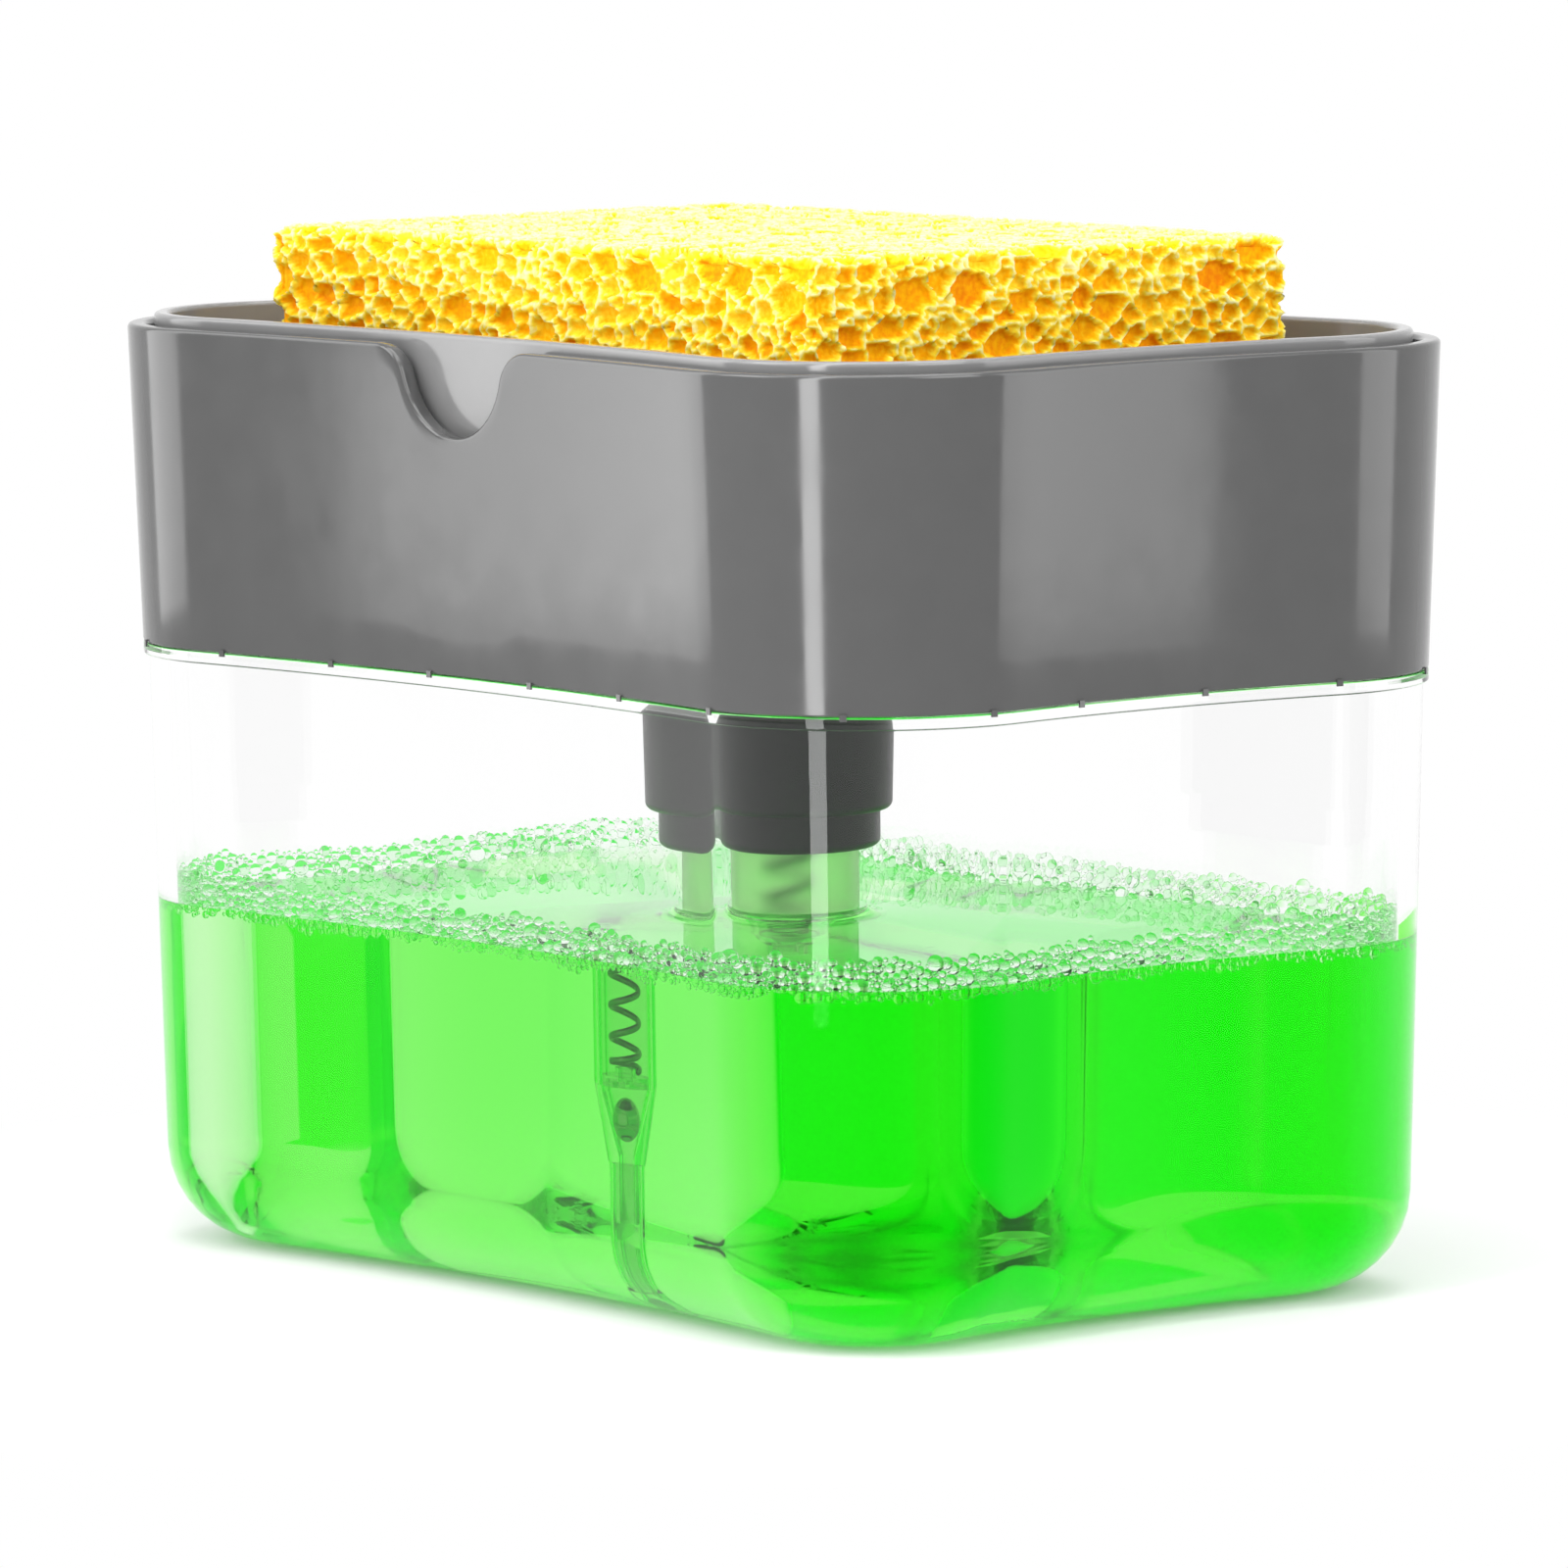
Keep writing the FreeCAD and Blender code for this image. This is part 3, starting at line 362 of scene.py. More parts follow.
def grained(name, shade, mottle, size, height, roughness, stretch=(1, 1, 1), **inputs):
    """A material with a fine grain, whose hollows are darker by a share and less rough than its crests."""
    material, tree, shader = new_material(name, **inputs)
    pattern = add_grain(tree, shader, size, height, stretch)
    low = [channel * (1 - mottle) for channel in shade[:3]] + [1.0]
    tone = add_node(tree, "ValToRGB", {"Fac": pattern}, stops=((NOISE_LOW, low), (NOISE_HIGH, shade)))
    dull = add_node(tree, "MapRange", {
        "Value": pattern, "From Min": NOISE_LOW, "From Max": NOISE_HIGH,
        "To Min": roughness[0], "To Max": roughness[1]})
    tree.links.new(tone.outputs["Color"], shader.inputs["Base Color"])
    tree.links.new(dull.outputs["Result"], shader.inputs["Roughness"])
    return material


def by_height(tree, low, high, at_low, at_high):
    """A value that goes over from one to another between two heights."""
    axes = add_node(tree, "SeparateXYZ", {0: add_node(tree, "TexCoord").outputs["Object"]})
    blend = add_node(tree, "MapRange", {
        "Value": axes.outputs["Z"], "From Min": low, "From Max": high,
        "To Min": at_low, "To Max": at_high})
    return blend.outputs["Result"]


def mixed_surface(tree, share, first, second):
    """Make a mix of two shaders the material's surface."""
    mix = add_node(tree, "MixShader", {0: share, 1: first.outputs[0], 2: second.outputs[0]})
    tree.links.new(mix.outputs[0], tree.nodes["Material Output"].inputs["Surface"])


def let_lamps_through(tree, shader, tint):
    """Let lamplight pass a clear surface unbent and tinted, so that it reaches what is behind it."""
    path = add_node(tree, "LightPath")
    clear = add_node(tree, "BsdfTransparent", {"Color": tint})
    mixed_surface(tree, path.outputs["Is Shadow Ray"], shader, clear)


# Height over which a wall goes from wet to dry, on each side of the soap's level
WATERLINE = 0.001
# How strongly the soap takes up the light, per metre
SOAP_DENSITY = 30.0


def clear_styrene():
    """Clear polystyrene, injection moulded in a polished tool: see-through, with bright edges.

    Below the soap's level the wet inner face hardly shines.
    """
    material, tree, shader = new_material(
        "clear_styrene_moulded", Base_Color=linear("#FFFFFF"), Roughness=0.0, IOR=1.5,
        Transmission_Weight=1.0)
    shine = by_height(tree, SOAP_LEVEL, SOAP_LEVEL + WATERLINE, 0.05, 0.6)
    tree.links.new(shine, shader.inputs["Specular Tint"])
    let_lamps_through(tree, shader, linear("#D8D8D8"))
    return material


def green_dish_soap():
    """Clear liquid soap: the longer the way through it, the deeper its green."""
    material, tree, shader = new_material(
        "green_dish_soap", Base_Color=linear("#FFFFFF"), Roughness=0.0, IOR=1.36,
        Transmission_Weight=1.0, Specular_Tint=linear("#000000"))
    absorb = add_node(tree, "VolumeAbsorption", {"Color": linear("#A3FC72"), "Density": SOAP_DENSITY})
    tree.links.new(absorb.outputs["Volume"], tree.nodes["Material Output"].inputs["Volume"])
    let_lamps_through(tree, shader, linear("#38D828"))
    return material


def soap_foam():
    """Soap foam: clear wet bubbles, whose edges bend the light, some whiter and some greener."""
    material, tree, shader = new_material("soap_foam", Roughness=0.02, IOR=1.14, Transmission_Weight=1.0)
    tint = add_node(tree, "Attribute", attribute_name="tint")
    shade = add_node(tree, "ValToRGB", {"Fac": tint.outputs["Fac"]},
                     stops=((0.0, linear("#D8FAD8")), (0.6, colours().foam)))
    tree.links.new(shade.outputs["Color"], shader.inputs["Base Color"])
    let_lamps_through(tree, shader, linear("#FFFFFF"))
    return material


def moulded_abs(name, shade):
    """ABS, injection moulded in a polished tool: glossy, with a faint ripple from the flow of the melt."""
    return grained(name, shade, mottle=0.05, size=0.005, height=0.000008, roughness=(0.09, 0.16), IOR=1.5)


def cellulose_sponge():
    """Cellulose sponge, foamed and cut from a block: matt, pale on its walls, with painted shade that goes
    orange deep in its pits.
    """
    material, tree, shader = new_material(
        "cellulose_sponge", Roughness=0.9, IOR=1.4, Specular_IOR_Level=0.2)
    pattern = add_grain(tree, shader, size=0.0006, height=0.0001)
    # Painted pore shade: pale walls go over to orange where points lie deep in the pores, with a fine grain
    # mixed in
    pit_shade = add_node(tree, "Attribute", attribute_name="pit_shade")
    fine = add_node(tree, "MapRange", {
        "Value": pattern, "From Min": 0.35, "From Max": 0.65, "To Min": -0.12, "To Max": 0.12})
    depth = add_node(tree, "Math", {0: pit_shade.outputs["Fac"], 1: fine.outputs["Result"]},
                     operation="ADD", use_clamp=True)
    tones = ((0.0, colours().sponge_wall), (1.0, colours().sponge_pit_shade), (0.3, linear("#FFE038")),
             (0.65, linear("#FFBA00")))
    shade = add_node(tree, "ValToRGB", {"Fac": depth.outputs[0]}, stops=tones)
    tree.links.new(shade.outputs["Color"], shader.inputs["Base Color"])
    return material


def dark_polypropylene():
    """Dark polypropylene, moulded in a spark-eroded tool: satin, with a fine even grain."""
    return grained("dark_polypropylene", colours().collar, mottle=0.2, size=0.0005, height=0.000003,
                   roughness=(0.28, 0.42), IOR=1.49, Specular_IOR_Level=0.15)


def natural_polypropylene():
    """Uncoloured polypropylene: milky where it is dry, and nearly clear where soap wets it."""
    material, tree, shader = new_material("natural_polypropylene", IOR=1.18)
    low, high = SOAP_LEVEL - WATERLINE, SOAP_LEVEL + WATERLINE
    shade = add_node(tree, "ValToRGB", {"Fac": by_height(tree, low, high, 0.0, 1.0)},
                     stops=((0.0, linear("#F0F8F0")), (1.0, linear("#ECFFE0"))))
    tree.links.new(by_height(tree, low, high, 0.95, 0.97), shader.inputs["Transmission Weight"])
    tree.links.new(by_height(tree, low, high, 0.05, 0.65), shader.inputs["Roughness"])
    tree.links.new(shade.outputs["Color"], shader.inputs["Base Color"])
    return material


def soft_polyethylene():
    """Soft polyethylene: waxy off-white with a slight grain."""
    return grained("soft_polyethylene", linear("#E8E8E0"), mottle=0.06, size=0.001, height=0.000006,
                   roughness=(0.42, 0.6), IOR=1.5)


def gasket_rubber():
    """Rubber stamped from sheet: dull black with a fine cloth-like grain."""
    return grained("gasket_rubber", linear("#1E1E1E"), mottle=0.25, size=0.0006, height=0.00001,
                   roughness=(0.6, 0.8), IOR=1.5)


def spring_wire():
    """Drawn stainless wire: bright metal with faint draw marks."""
    return grained("spring_wire", linear("#9A9A96"), mottle=0.2, size=0.0003, height=0.000003,
                   roughness=(0.22, 0.42), stretch=(1, 1, 4), Metallic=1.0)


def polished_ball():
    """Ground and polished stainless steel: a mirror with the last faint marks of the lapping."""
    return grained("polished_ball", linear("#C0C0BE"), mottle=0.08, size=0.0008, height=0.000001,
                   roughness=(0.05, 0.12), Metallic=1.0)


# Pieces


def housing_inset(height):
    shape = sizes()
    rim, foot = HOUSING_HIGH.z, shape.housing_foot
    return shape.housing_draft * (rim - height) / (rim - foot)


def tank_inset(height):
    shape = sizes()
    narrowing = shape.tank_draft * (shape.flange_low - height) / shape.flange_low
    return shape.housing_draft + shape.flange_overhang + narrowing


def inner_inset(height):
    return tank_inset(height) + sizes().tank_wall


# The flat floor starts this many foot radii inside the wall, past the foot's rounding
FLOOR_EDGE = 1.2
# Share of a wall that the soap reaches into it, so that no film of air shows between the two
SUNK = 0.1
# Height of the soap's meniscus round the barrel, its width in heights, and where its rows lie
MENISCUS_HEIGHT = 0.0009
MENISCUS_SPREAD = 3
MENISCUS_ROWS = (1.0, 0.5, 0.25, 0.1, 0.0)


class OBJECT_OT_caddy_tank(bpy.types.Operator):
    """Model the clear tank with its flange and lip"""
    bl_idname = "object.caddy_tank"
    bl_label = "Tank"

    def execute(self, context):
        shape = sizes()
        floor = shape.tank_wall
        edge = shape.flange_overhang / 4
        flange = shape.housing_draft
        lip = flange + shape.lap_wall + shape.lap_clearance
        foot = shape.foot_radius
        top = TANK_TOP
        outside = rounded_path([
            (tank_inset(0) + FLOOR_EDGE * foot, 0, 0), (tank_inset(0), 0, foot),
            (tank_inset(shape.flange_low), shape.flange_low, edge), (flange, shape.flange_low, edge),
            (flange, shape.flange_high, edge), (lip, shape.flange_high, edge), (lip, top, edge),
            (lip + shape.tank_wall, top, 0)])[:-1]
        inside = rounded_path([
            (lip, top, 0), (inner_inset(top), top, edge),
            (inner_inset(floor), floor, foot - shape.tank_wall),
            (inner_inset(floor) + FLOOR_EDGE * foot, floor, 0)])[1:]
        spots = Outline(shape).stations(density=2)
        rings = [ring(spots, *point) for point in outside + inside]
        tank = lofted("tank", rings, capped=True)
        finish_piece(tank, clear_styrene(), "tank", "clear_plastic", "reservoir")
        return {"FINISHED"}


class OBJECT_OT_caddy_soap(bpy.types.Operator):
    """Fill the tank with soap up to its level"""
    bl_idname = "object.caddy_soap"
    bl_label = "Soap"

    def execute(self, context):
        shape = sizes()
        sunk = SUNK * shape.tank_wall
        low = shape.tank_wall - sunk
        level = SOAP_LEVEL
        foot = shape.foot_radius - shape.tank_wall + sunk
        spots = Outline(shape).stations(density=2)
        profile = rounded_path([
            (inner_inset(low) + FLOOR_EDGE * shape.foot_radius, low, 0),
            (inner_inset(low) - sunk, low, foot),
            (inner_inset(level) - sunk, level, 0), (inner_inset(level) + shape.tank_wall, level, 0)])
        rings = [ring(spots, *point) for point in profile]
        creep = MENISCUS_HEIGHT
        for share in MENISCUS_ROWS:
            radius = BARREL_RADIUS - creep + MENISCUS_SPREAD * creep * share
            rings.append(round_ring(spots, radius, level + creep * (1 - share) ** 3))
        soap = lofted("soap", rings, capped=True)
        finish_piece(soap, green_dish_soap(), "tank", "green_soap", "soap_fill")
        return {"FINISHED"}


class OBJECT_OT_caddy_primed_soap(bpy.types.Operator):
    """Fill the pump's barrel with soap below the piston"""
    bl_idname = "object.caddy_primed_soap"
    bl_label = "Soap in the barrel"

    def execute(self, context):
        shape = sizes()
        spots = Outline(shape).stations()
        sunk = SUNK * shape.barrel_wall
        radius = shape.chamber_radius + sunk
        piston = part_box("piston_seal")[0].z
        floor = shape.chamber_floor - sunk
        rings = [round_ring(spots, radius, height) for height in (floor, piston)]
        soap = lofted("soap_in_barrel", rings, capped=True)
        finish_piece(soap, bpy.data.materials["green_dish_soap"], "upper_unit", "green_soap")
        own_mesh(soap)
        return {"FINISHED"}


# Steps round the rim's edge, and how far up the outer and down the inner wall the rows of points lie
EDGE_STEPS = 5
OUTER_ROWS = (0.15, 0.4, 0.65, 0.85, 0.95)
INNER_ROWS = (0.08, 0.3, 0.6)
# Width, thickness and height of the foot's lugs
LUG_SIZE = Vector((0.0007, 0.0002, 0.0007))
# Share of a lug's thickness that stands out from the wall, how far it hangs down, and the lugs' spacing
LUG_PROUD = 0.6
LUG_DROP = 0.0004
LUG_PITCH = 0.0165


class OBJECT_OT_caddy_housing(bpy.types.Operator):
    """Model the housing with its finger notch, deck and neck"""
    bl_idname = "object.caddy_housing"
    bl_label = "Housing"

    def execute(self, context):
        shape = sizes()
        outline = Outline(shape)
        rim, foot, wall, edge = HOUSING_HIGH.z, shape.housing_foot, shape.housing_wall, shape.rim_round
        spots, notch = notched_stations(outline, shape)
        rows = []
        # Outer wall from the foot up to the rounding, over the rim and down inside to the deck
        lower = rounded_path([(shape.lap_wall + housing_inset(foot), shape.deck_low, 0),
                              (shape.lap_wall + housing_inset(foot), foot, edge / 2),
                              (housing_inset(foot), foot, edge / 2), (housing_inset(rim), rim, 0)])[:-1]
        rows += [ring(spots, *point) for point in lower]
        start = lower[-1].y
        top_outer = [edge_point(outline, spot, mark, edge, 0) for spot, mark in zip(spots, notch)]
        for share in OUTER_ROWS:
            rows.append([wall_point(outline, spot, start + (top.z - start) * share, top.x, mark, 0)
                         for spot, mark, top in zip(spots, notch, top_outer)])
        turns = [i * math.pi / 2 / EDGE_STEPS for i in range(EDGE_STEPS + 1)]
        over = [(edge * (1 - math.sin(turn)), edge * (1 - math.cos(turn))) for turn in turns]
        over += [(drop, wall - inset) for drop, inset in reversed(over)]
        for drop, inset in over:
            rows.append([edge_point(outline, spot, mark, drop, inset) for spot, mark in zip(spots, notch)])
        top_inner = rows[-1]
        upper = rounded_path([(wall + housing_inset(rim), rim, 0),
                              (wall + housing_inset(shape.deck_high), shape.deck_high, edge),
                              (2 * wall + housing_inset(shape.deck_high), shape.deck_high, 0)])[1:]
        end = upper[0].y
        for share in INNER_ROWS:
            rows.append([wall_point(outline, spot, top.z + (end - top.z) * share, top.x, mark, wall)
                         for spot, mark, top in zip(spots, notch, top_inner)])
        rows += [ring(spots, *point) for point in upper]
        neck_low = HOUSING_LOW.z
        for radius, height in ((shape.neck_bore, shape.deck_high), (shape.neck_bore, neck_low),
                               (shape.neck_radius, neck_low), (shape.neck_radius, shape.deck_low)):
            rows.append(round_ring(spots, radius, height))
        rows.append(rows[0])
        housing = lofted("housing", rows)
        add_lugs(housing, shape)
        plastic = moulded_abs("moulded_abs_grey", colours().housing)
        finish_piece(housing, plastic, "upper_unit", "grey_plastic", "upper_housing")
        return {"FINISHED"}


def add_lugs(housing, shape):
    """Small lugs along the housing's foot that hang over the tank's flange."""
    inset = housing_inset(shape.housing_foot) - LUG_PROUD * LUG_SIZE.y
    height = shape.housing_foot - LUG_DROP + LUG_SIZE.z / 2
    walk = LUG_PITCH / 2
    lugs = []
    spots = Outline(shape).stations(density=2)
    for (before, _), (point, normal) in zip(spots, spots[1:]):
        walk += (point - before).length
        if walk < LUG_PITCH:
            continue
        walk -= LUG_PITCH
        deselect()
        bpy.ops.mesh.primitive_cube_add(size=1)
        lug = bpy.context.object
        lug.scale = LUG_SIZE
        lug.rotation_euler.z = math.atan2(normal.y, normal.x) + math.pi / 2
        lug.location = point - normal * inset + Vector((0, 0, height))
        bpy.ops.object.transform_apply(location=True, rotation=True, scale=True)
        lugs.append(lug)
    pick(housing)
    for lug in lugs:
        lug.select_set(True)
    bpy.ops.object.join()


def notch_arcs(shape):
    """Half width, depth, shoulder radius and bottom radius of the notch."""
    half, depth, shoulder = shape.notch_width / 2, shape.notch_depth, shape.notch_shoulder
    return half, depth, shoulder, (half ** 2 + depth ** 2) / (2 * depth) - shoulder


def notched_stations(outline, shape):
    """Stations of the housing, and for each its place on the notch: None, or an arc and an angle on it."""
    half, depth, shoulder, bottom = notch_arcs(shape)
    lean = math.atan2(half, bottom - depth + shoulder)
    marks = [("left", angle) for angle in spread(0, lean, NOTCH_STEPS)]
    marks += [("bottom", angle) for angle in spread(-lean, lean, 2 * NOTCH_STEPS)]
    marks += [("right", angle) for angle in spread(lean, 0, NOTCH_STEPS)]
    edge = math.asin(half / outline.long_radius)
    side = LONG_STEPS // 3
    before = [outline.long_side(turn, -1) for turn in spread(-outline.long_lean, -edge, side)]
    after = [outline.long_side(turn, -1) for turn in spread(edge, outline.long_lean, side)]
    inside = [outline.front_at(notch_place(shape, mark, 0)[0]) for mark in marks]
    spots = outline.stations(front=before + inside + after)
    last = len(after) + CORNER_STEPS
    places = [None] * (len(spots) - len(marks) - last) + marks + [None] * last
    return spots, places


def notch_place(shape, mark, drop):
    """Distance across and height of a point on the notch's edge, or on the curve a drop below that edge."""
    half, depth, shoulder, bottom = notch_arcs(shape)
    rim = HOUSING_HIGH.z
    arc, angle = mark
    if arc == "bottom":
        reach = bottom + drop
        return reach * math.sin(angle), rim - depth + bottom - reach * math.cos(angle)
    reach = shoulder - drop
    side = 1 if arc == "right" else -1
    return side * (half - reach * math.sin(angle)), rim - shoulder + reach * math.cos(angle)


def edge_point(outline, spot, mark, drop, inset):
    """Point on the rounded top edge, which dips into the notch."""
    across, height = notch_place(sizes(), mark, drop) if mark else (0, HOUSING_HIGH.z - drop)
    return wall_point(outline, spot, height, across, mark, inset)


def wall_point(outline, spot, height, across, mark, inset):
    """Point on the drafted wall, which at the notch lies at a distance across the front."""
    point, normal = outline.front_at(across) if mark else spot
    return point - normal * (inset + housing_inset(height)) + Vector((0, 0, height))


# Rounding of the sponge's edges
SPONGE_EDGE = 0.0012
# Least and most pore radius and how many places are tried for it
PORE_SIZES = ((0.0019, 0.0028, 420), (0.0012, 0.0018, 2600), (0.0008, 0.0012, 7000),
              (0.00045, 0.0007, 12000))
# Pores lie flat by this much, and come as near to each other as this share of their radii
PORE_FLATNESS = Vector((1, 1, 1.45))
PORE_PACKING = 0.8
# Size of the waves in the pores' outlines, and thickness and flat share of the walls between pores
WAVE_SIZE = 0.0014
CELL_WALL = 0.00045
WALL_FLAT = 0.25
# How many pores round a point are looked at
NEAR_PORES = 8
# A pore has a shallow floor and a bowl in its middle, as deep as a share of its radius or at most so deep
PORE_FLOOR = 0.0003
BOWL_SHARE = 0.6
BOWL_DEEPEST = 0.0009
# Share of its depth that the bowl has at the pore's edge, and the way on which it gains a whole depth
BOWL_START = 0.3
BOWL_SLOPE = 0.0008
# Random span of the painted pore shade's tones, how much deeper that of the largest is, and how much deeper
# the tones get towards the sponge's bottom
PORE_TONES = (0.4, 0.75)
LARGE_TONE = 0.25
LOW_TONE = 0.25


class OBJECT_OT_caddy_sponge(bpy.types.Operator):
    """Model the sponge with its open pores"""
    bl_idname = "object.caddy_sponge"
    bl_label = "Sponge"

    def execute(self, context):
        grain = context.scene.caddy_sponge
        deselect()
        bpy.ops.mesh.primitive_cube_add(size=1, location=(SPONGE_LOW + SPONGE_HIGH) / 2)
        sponge = context.object
        sponge.name = sponge.data.name = "sponge_block"
        sponge.scale = SPONGE_HIGH - SPONGE_LOW
        bpy.ops.object.transform_apply(location=True, rotation=True, scale=True)
        apply_modifier(sponge, "BEVEL", width=SPONGE_EDGE, segments=3)
        apply_modifier(sponge, "REMESH", mode="VOXEL", voxel_size=grain.voxel)
        open_pores(sponge, grain)
        finish_piece(sponge, cellulose_sponge(), "sponge_pad", "cellulose", "sponge", angle=math.pi)
        return {"FINISHED"}


def scattered(place, chance, spans, packing):
    """Centres and radii of balls, large ones first, each clear of the ones before it."""
    cell = 2 * spans[0][1]
    cells, found = {}, []
    around = [(i, j, k) for i in (-1, 0, 1) for j in (-1, 0, 1) for k in (-1, 0, 1)]
    for least, most, tries in spans:
        for _ in range(tries):
            radius = chance.uniform(least, most)
            centre = place(radius)
            x, y, z = (int(value // cell) for value in centre)
            near = (ball for i, j, k in around for ball in cells.get((x + i, y + j, z + k), ()))
            if all((centre - other).length > packing * (radius + reach) for other, reach in near):
                cells.setdefault((x, y, z), []).append((centre, radius))
                found.append((centre, radius))
    return found


def open_pores(sponge, grain):
    """Sink the pores between thin cell walls and keep in an attribute a painted shade for each point,
    deeper where it lies deep in a pore.
    """
    mesh = sponge.data
    places = [vertex.co.copy() for vertex in mesh.vertices]
    normals = [vertex.normal.copy() for vertex in mesh.vertices]
    chance = random.Random(grain.seed)
    squeezed = [place * PORE_FLATNESS for place in places]
    pores = scattered(lambda radius: chance.choice(squeezed), chance, PORE_SIZES, PORE_PACKING)
    largest = PORE_SIZES[0][1]
    tones = [chance.uniform(*PORE_TONES) + LARGE_TONE * radius / largest for centre, radius in pores]
    tree = kdtree.KDTree(len(pores))
    for index, (centre, radius) in enumerate(pores):
        tree.insert(centre, index)
    tree.balance()
    pit_shades = []
    for vertex, place, normal in zip(mesh.vertices, places, normals):
        strayed = (place + noise.noise_vector(place / WAVE_SIZE) * grain.pore_warp) * PORE_FLATNESS
        nearest = tree.find_n(strayed, NEAR_PORES)
        gaps = sorted((reach - pores[index][1], index) for _, index, reach in nearest)
        # A point is on a wall where two pores are about as far away
        share = min(1.0, max(0.0, (gaps[1][0] - gaps[0][0]) / CELL_WALL - WALL_FLAT))
        share *= share * (3 - 2 * share)
        hollow = min(1.0, max(0.0, BOWL_START - gaps[0][0] / BOWL_SLOPE))
        index = gaps[0][1]
        bowl = min(BOWL_DEEPEST, BOWL_SHARE * pores[index][1])
        vertex.co = place - normal * share * (PORE_FLOOR + bowl * hollow)
        sunk = (SPONGE_HIGH.z - place.z) / (SPONGE_HIGH.z - SPONGE_LOW.z)
        # Painted pore shade: a random tone for each pore, taken further into the pore and deeper towards
        # the bottom
        pit_shades.append(max(share * (tones[index] + LOW_TONE * (sunk - 0.5)), LOW_TONE * sunk))
    mesh.attributes.new("pit_shade", "FLOAT", "POINT").data.foreach_set("value", pit_shades)


# Least and most bubble radius and how many places are tried for it
BUBBLE_SIZES = ((0.0007, 0.0010, 160), (0.00045, 0.0007, 2500), (0.00032, 0.00045, 9000),
                (0.0002, 0.00032, 30000))
BUBBLE_PACKING = 0.85
# Bubbles up to this radius have fewer faces
FINE_BUBBLE = 0.00036
# Least, most and usual height of a bubble over the soap, and height and length of the foam's waves
FOAM_SPAN = (-0.0011, 0.0031, 0.0005)
WAVE_HEIGHT, WAVE_LENGTH = 0.0007, 0.006
# Distances from the wall that a bubble may have, in radii
FOAM_LAYERS = (1.0, 1.0, 2.7)
FOAM_SEED = 11
FOAM_DENSITY = 6


class OBJECT_OT_caddy_foam(bpy.types.Operator):
    """Pack bubbles along the tank's wall at the soap's level"""
    bl_idname = "object.caddy_foam"
    bl_label = "Foam"

    def execute(self, context):
        chance = random.Random(FOAM_SEED)
        spots = Outline(sizes()).stations(FOAM_DENSITY)
        bubbles = scattered(lambda radius: bubble_place(spots, chance, radius), chance, BUBBLE_SIZES,
                            BUBBLE_PACKING)
        corners, faces, tints = [], [], []
        for subdivisions in (1, 2):
            deselect()
            bpy.ops.mesh.primitive_ico_sphere_add(subdivisions=subdivisions, radius=1)
            ball = context.object
            round_points = [vertex.co.copy() for vertex in ball.data.vertices]
            round_faces = [tuple(face.vertices) for face in ball.data.polygons]
            bpy.ops.object.delete()
            for centre, radius in bubbles:
                if (radius > FINE_BUBBLE) == (subdivisions == 2):
                    faces += [[len(corners) + index for index in face] for face in round_faces]
                    corners += [centre + point * radius for point in round_points]
                    tints += [chance.random()] * len(round_points)
        mesh = bpy.data.meshes.new("foam")
        mesh.from_pydata(corners, [], faces)
        mesh.attributes.new("tint", "FLOAT", "POINT").data.foreach_set("value", tints)
        foam = bpy.data.objects.new("foam", mesh)
        context.scene.collection.objects.link(foam)
        finish_piece(foam, soap_foam(), "tank", "green_soap", angle=math.pi)
        return {"FINISHED"}


def bubble_place(spots, chance, radius):
    """A place for a bubble that touches the wall, or one that touches such a bubble."""
    point, normal = chance.choice(spots)
    wave = WAVE_HEIGHT * noise.noise(point / WAVE_LENGTH)
    height = SOAP_LEVEL + chance.triangular(*FOAM_SPAN) + wave
    inset = inner_inset(height) + radius * chance.choice(FOAM_LAYERS)
    return point - normal * inset + Vector((0, 0, height))


# Radius of the spring's wire, pitch of its closed ends, and how far each quarter of a turn is opened
WIRE_RADIUS = 0.000375
CLOSED_PITCH = 0.0013
QUARTERS = [0.0] * 3 + [0.5] * 2 + [1.0] * 22 + [0.5] * 2 + [0.0] * 3
QUARTER_STEPS = 8


class OBJECT_OT_caddy_spring(bpy.types.Operator):
    """Wind the pump's return spring"""
    bl_idname = "object.caddy_spring"
    bl_label = "Return spring"

    def execute(self, context):
        radius = SPRING_HIGH.x - WIRE_RADIUS
        low, high = SPRING_LOW.z + WIRE_RADIUS, SPRING_HIGH.z - WIRE_RADIUS
        closed = CLOSED_PITCH / 4
        opened = (high - low - closed * len(QUARTERS)) / sum(QUARTERS)
        heights = [low]
        for share in QUARTERS:
            heights.append(heights[-1] + closed + opened * share)
        heights.append(heights[-1])
        curve = bpy.data.curves.new("spring_line", "CURVE")
        curve.dimensions = "3D"
        curve.bevel_depth = WIRE_RADIUS
        curve.bevel_resolution = 3
        curve.use_fill_caps = True
        line = curve.splines.new("POLY")
        line.points.add(QUARTER_STEPS * len(QUARTERS))
        for index, point in enumerate(line.points):
            quarter, part = divmod(index, QUARTER_STEPS)
            rise = heights[quarter + 1] - heights[quarter]
            height = heights[quarter] + rise * part / QUARTER_STEPS
            angle = index * math.pi / 2 / QUARTER_STEPS
            point.co = (radius * math.cos(angle), radius * math.sin(angle), height, 1)
        spring = bpy.data.objects.new("coil_spring", curve)
        context.scene.collection.objects.link(spring)
        pick(spring)
        bpy.ops.object.convert(target="MESH")
        spring = context.object
        weld(spring)
        finish_piece(spring, spring_wire(), "upper_unit", "spring_steel", "return_spring", angle=math.pi)
        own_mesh(spring)
        return {"FINISHED"}


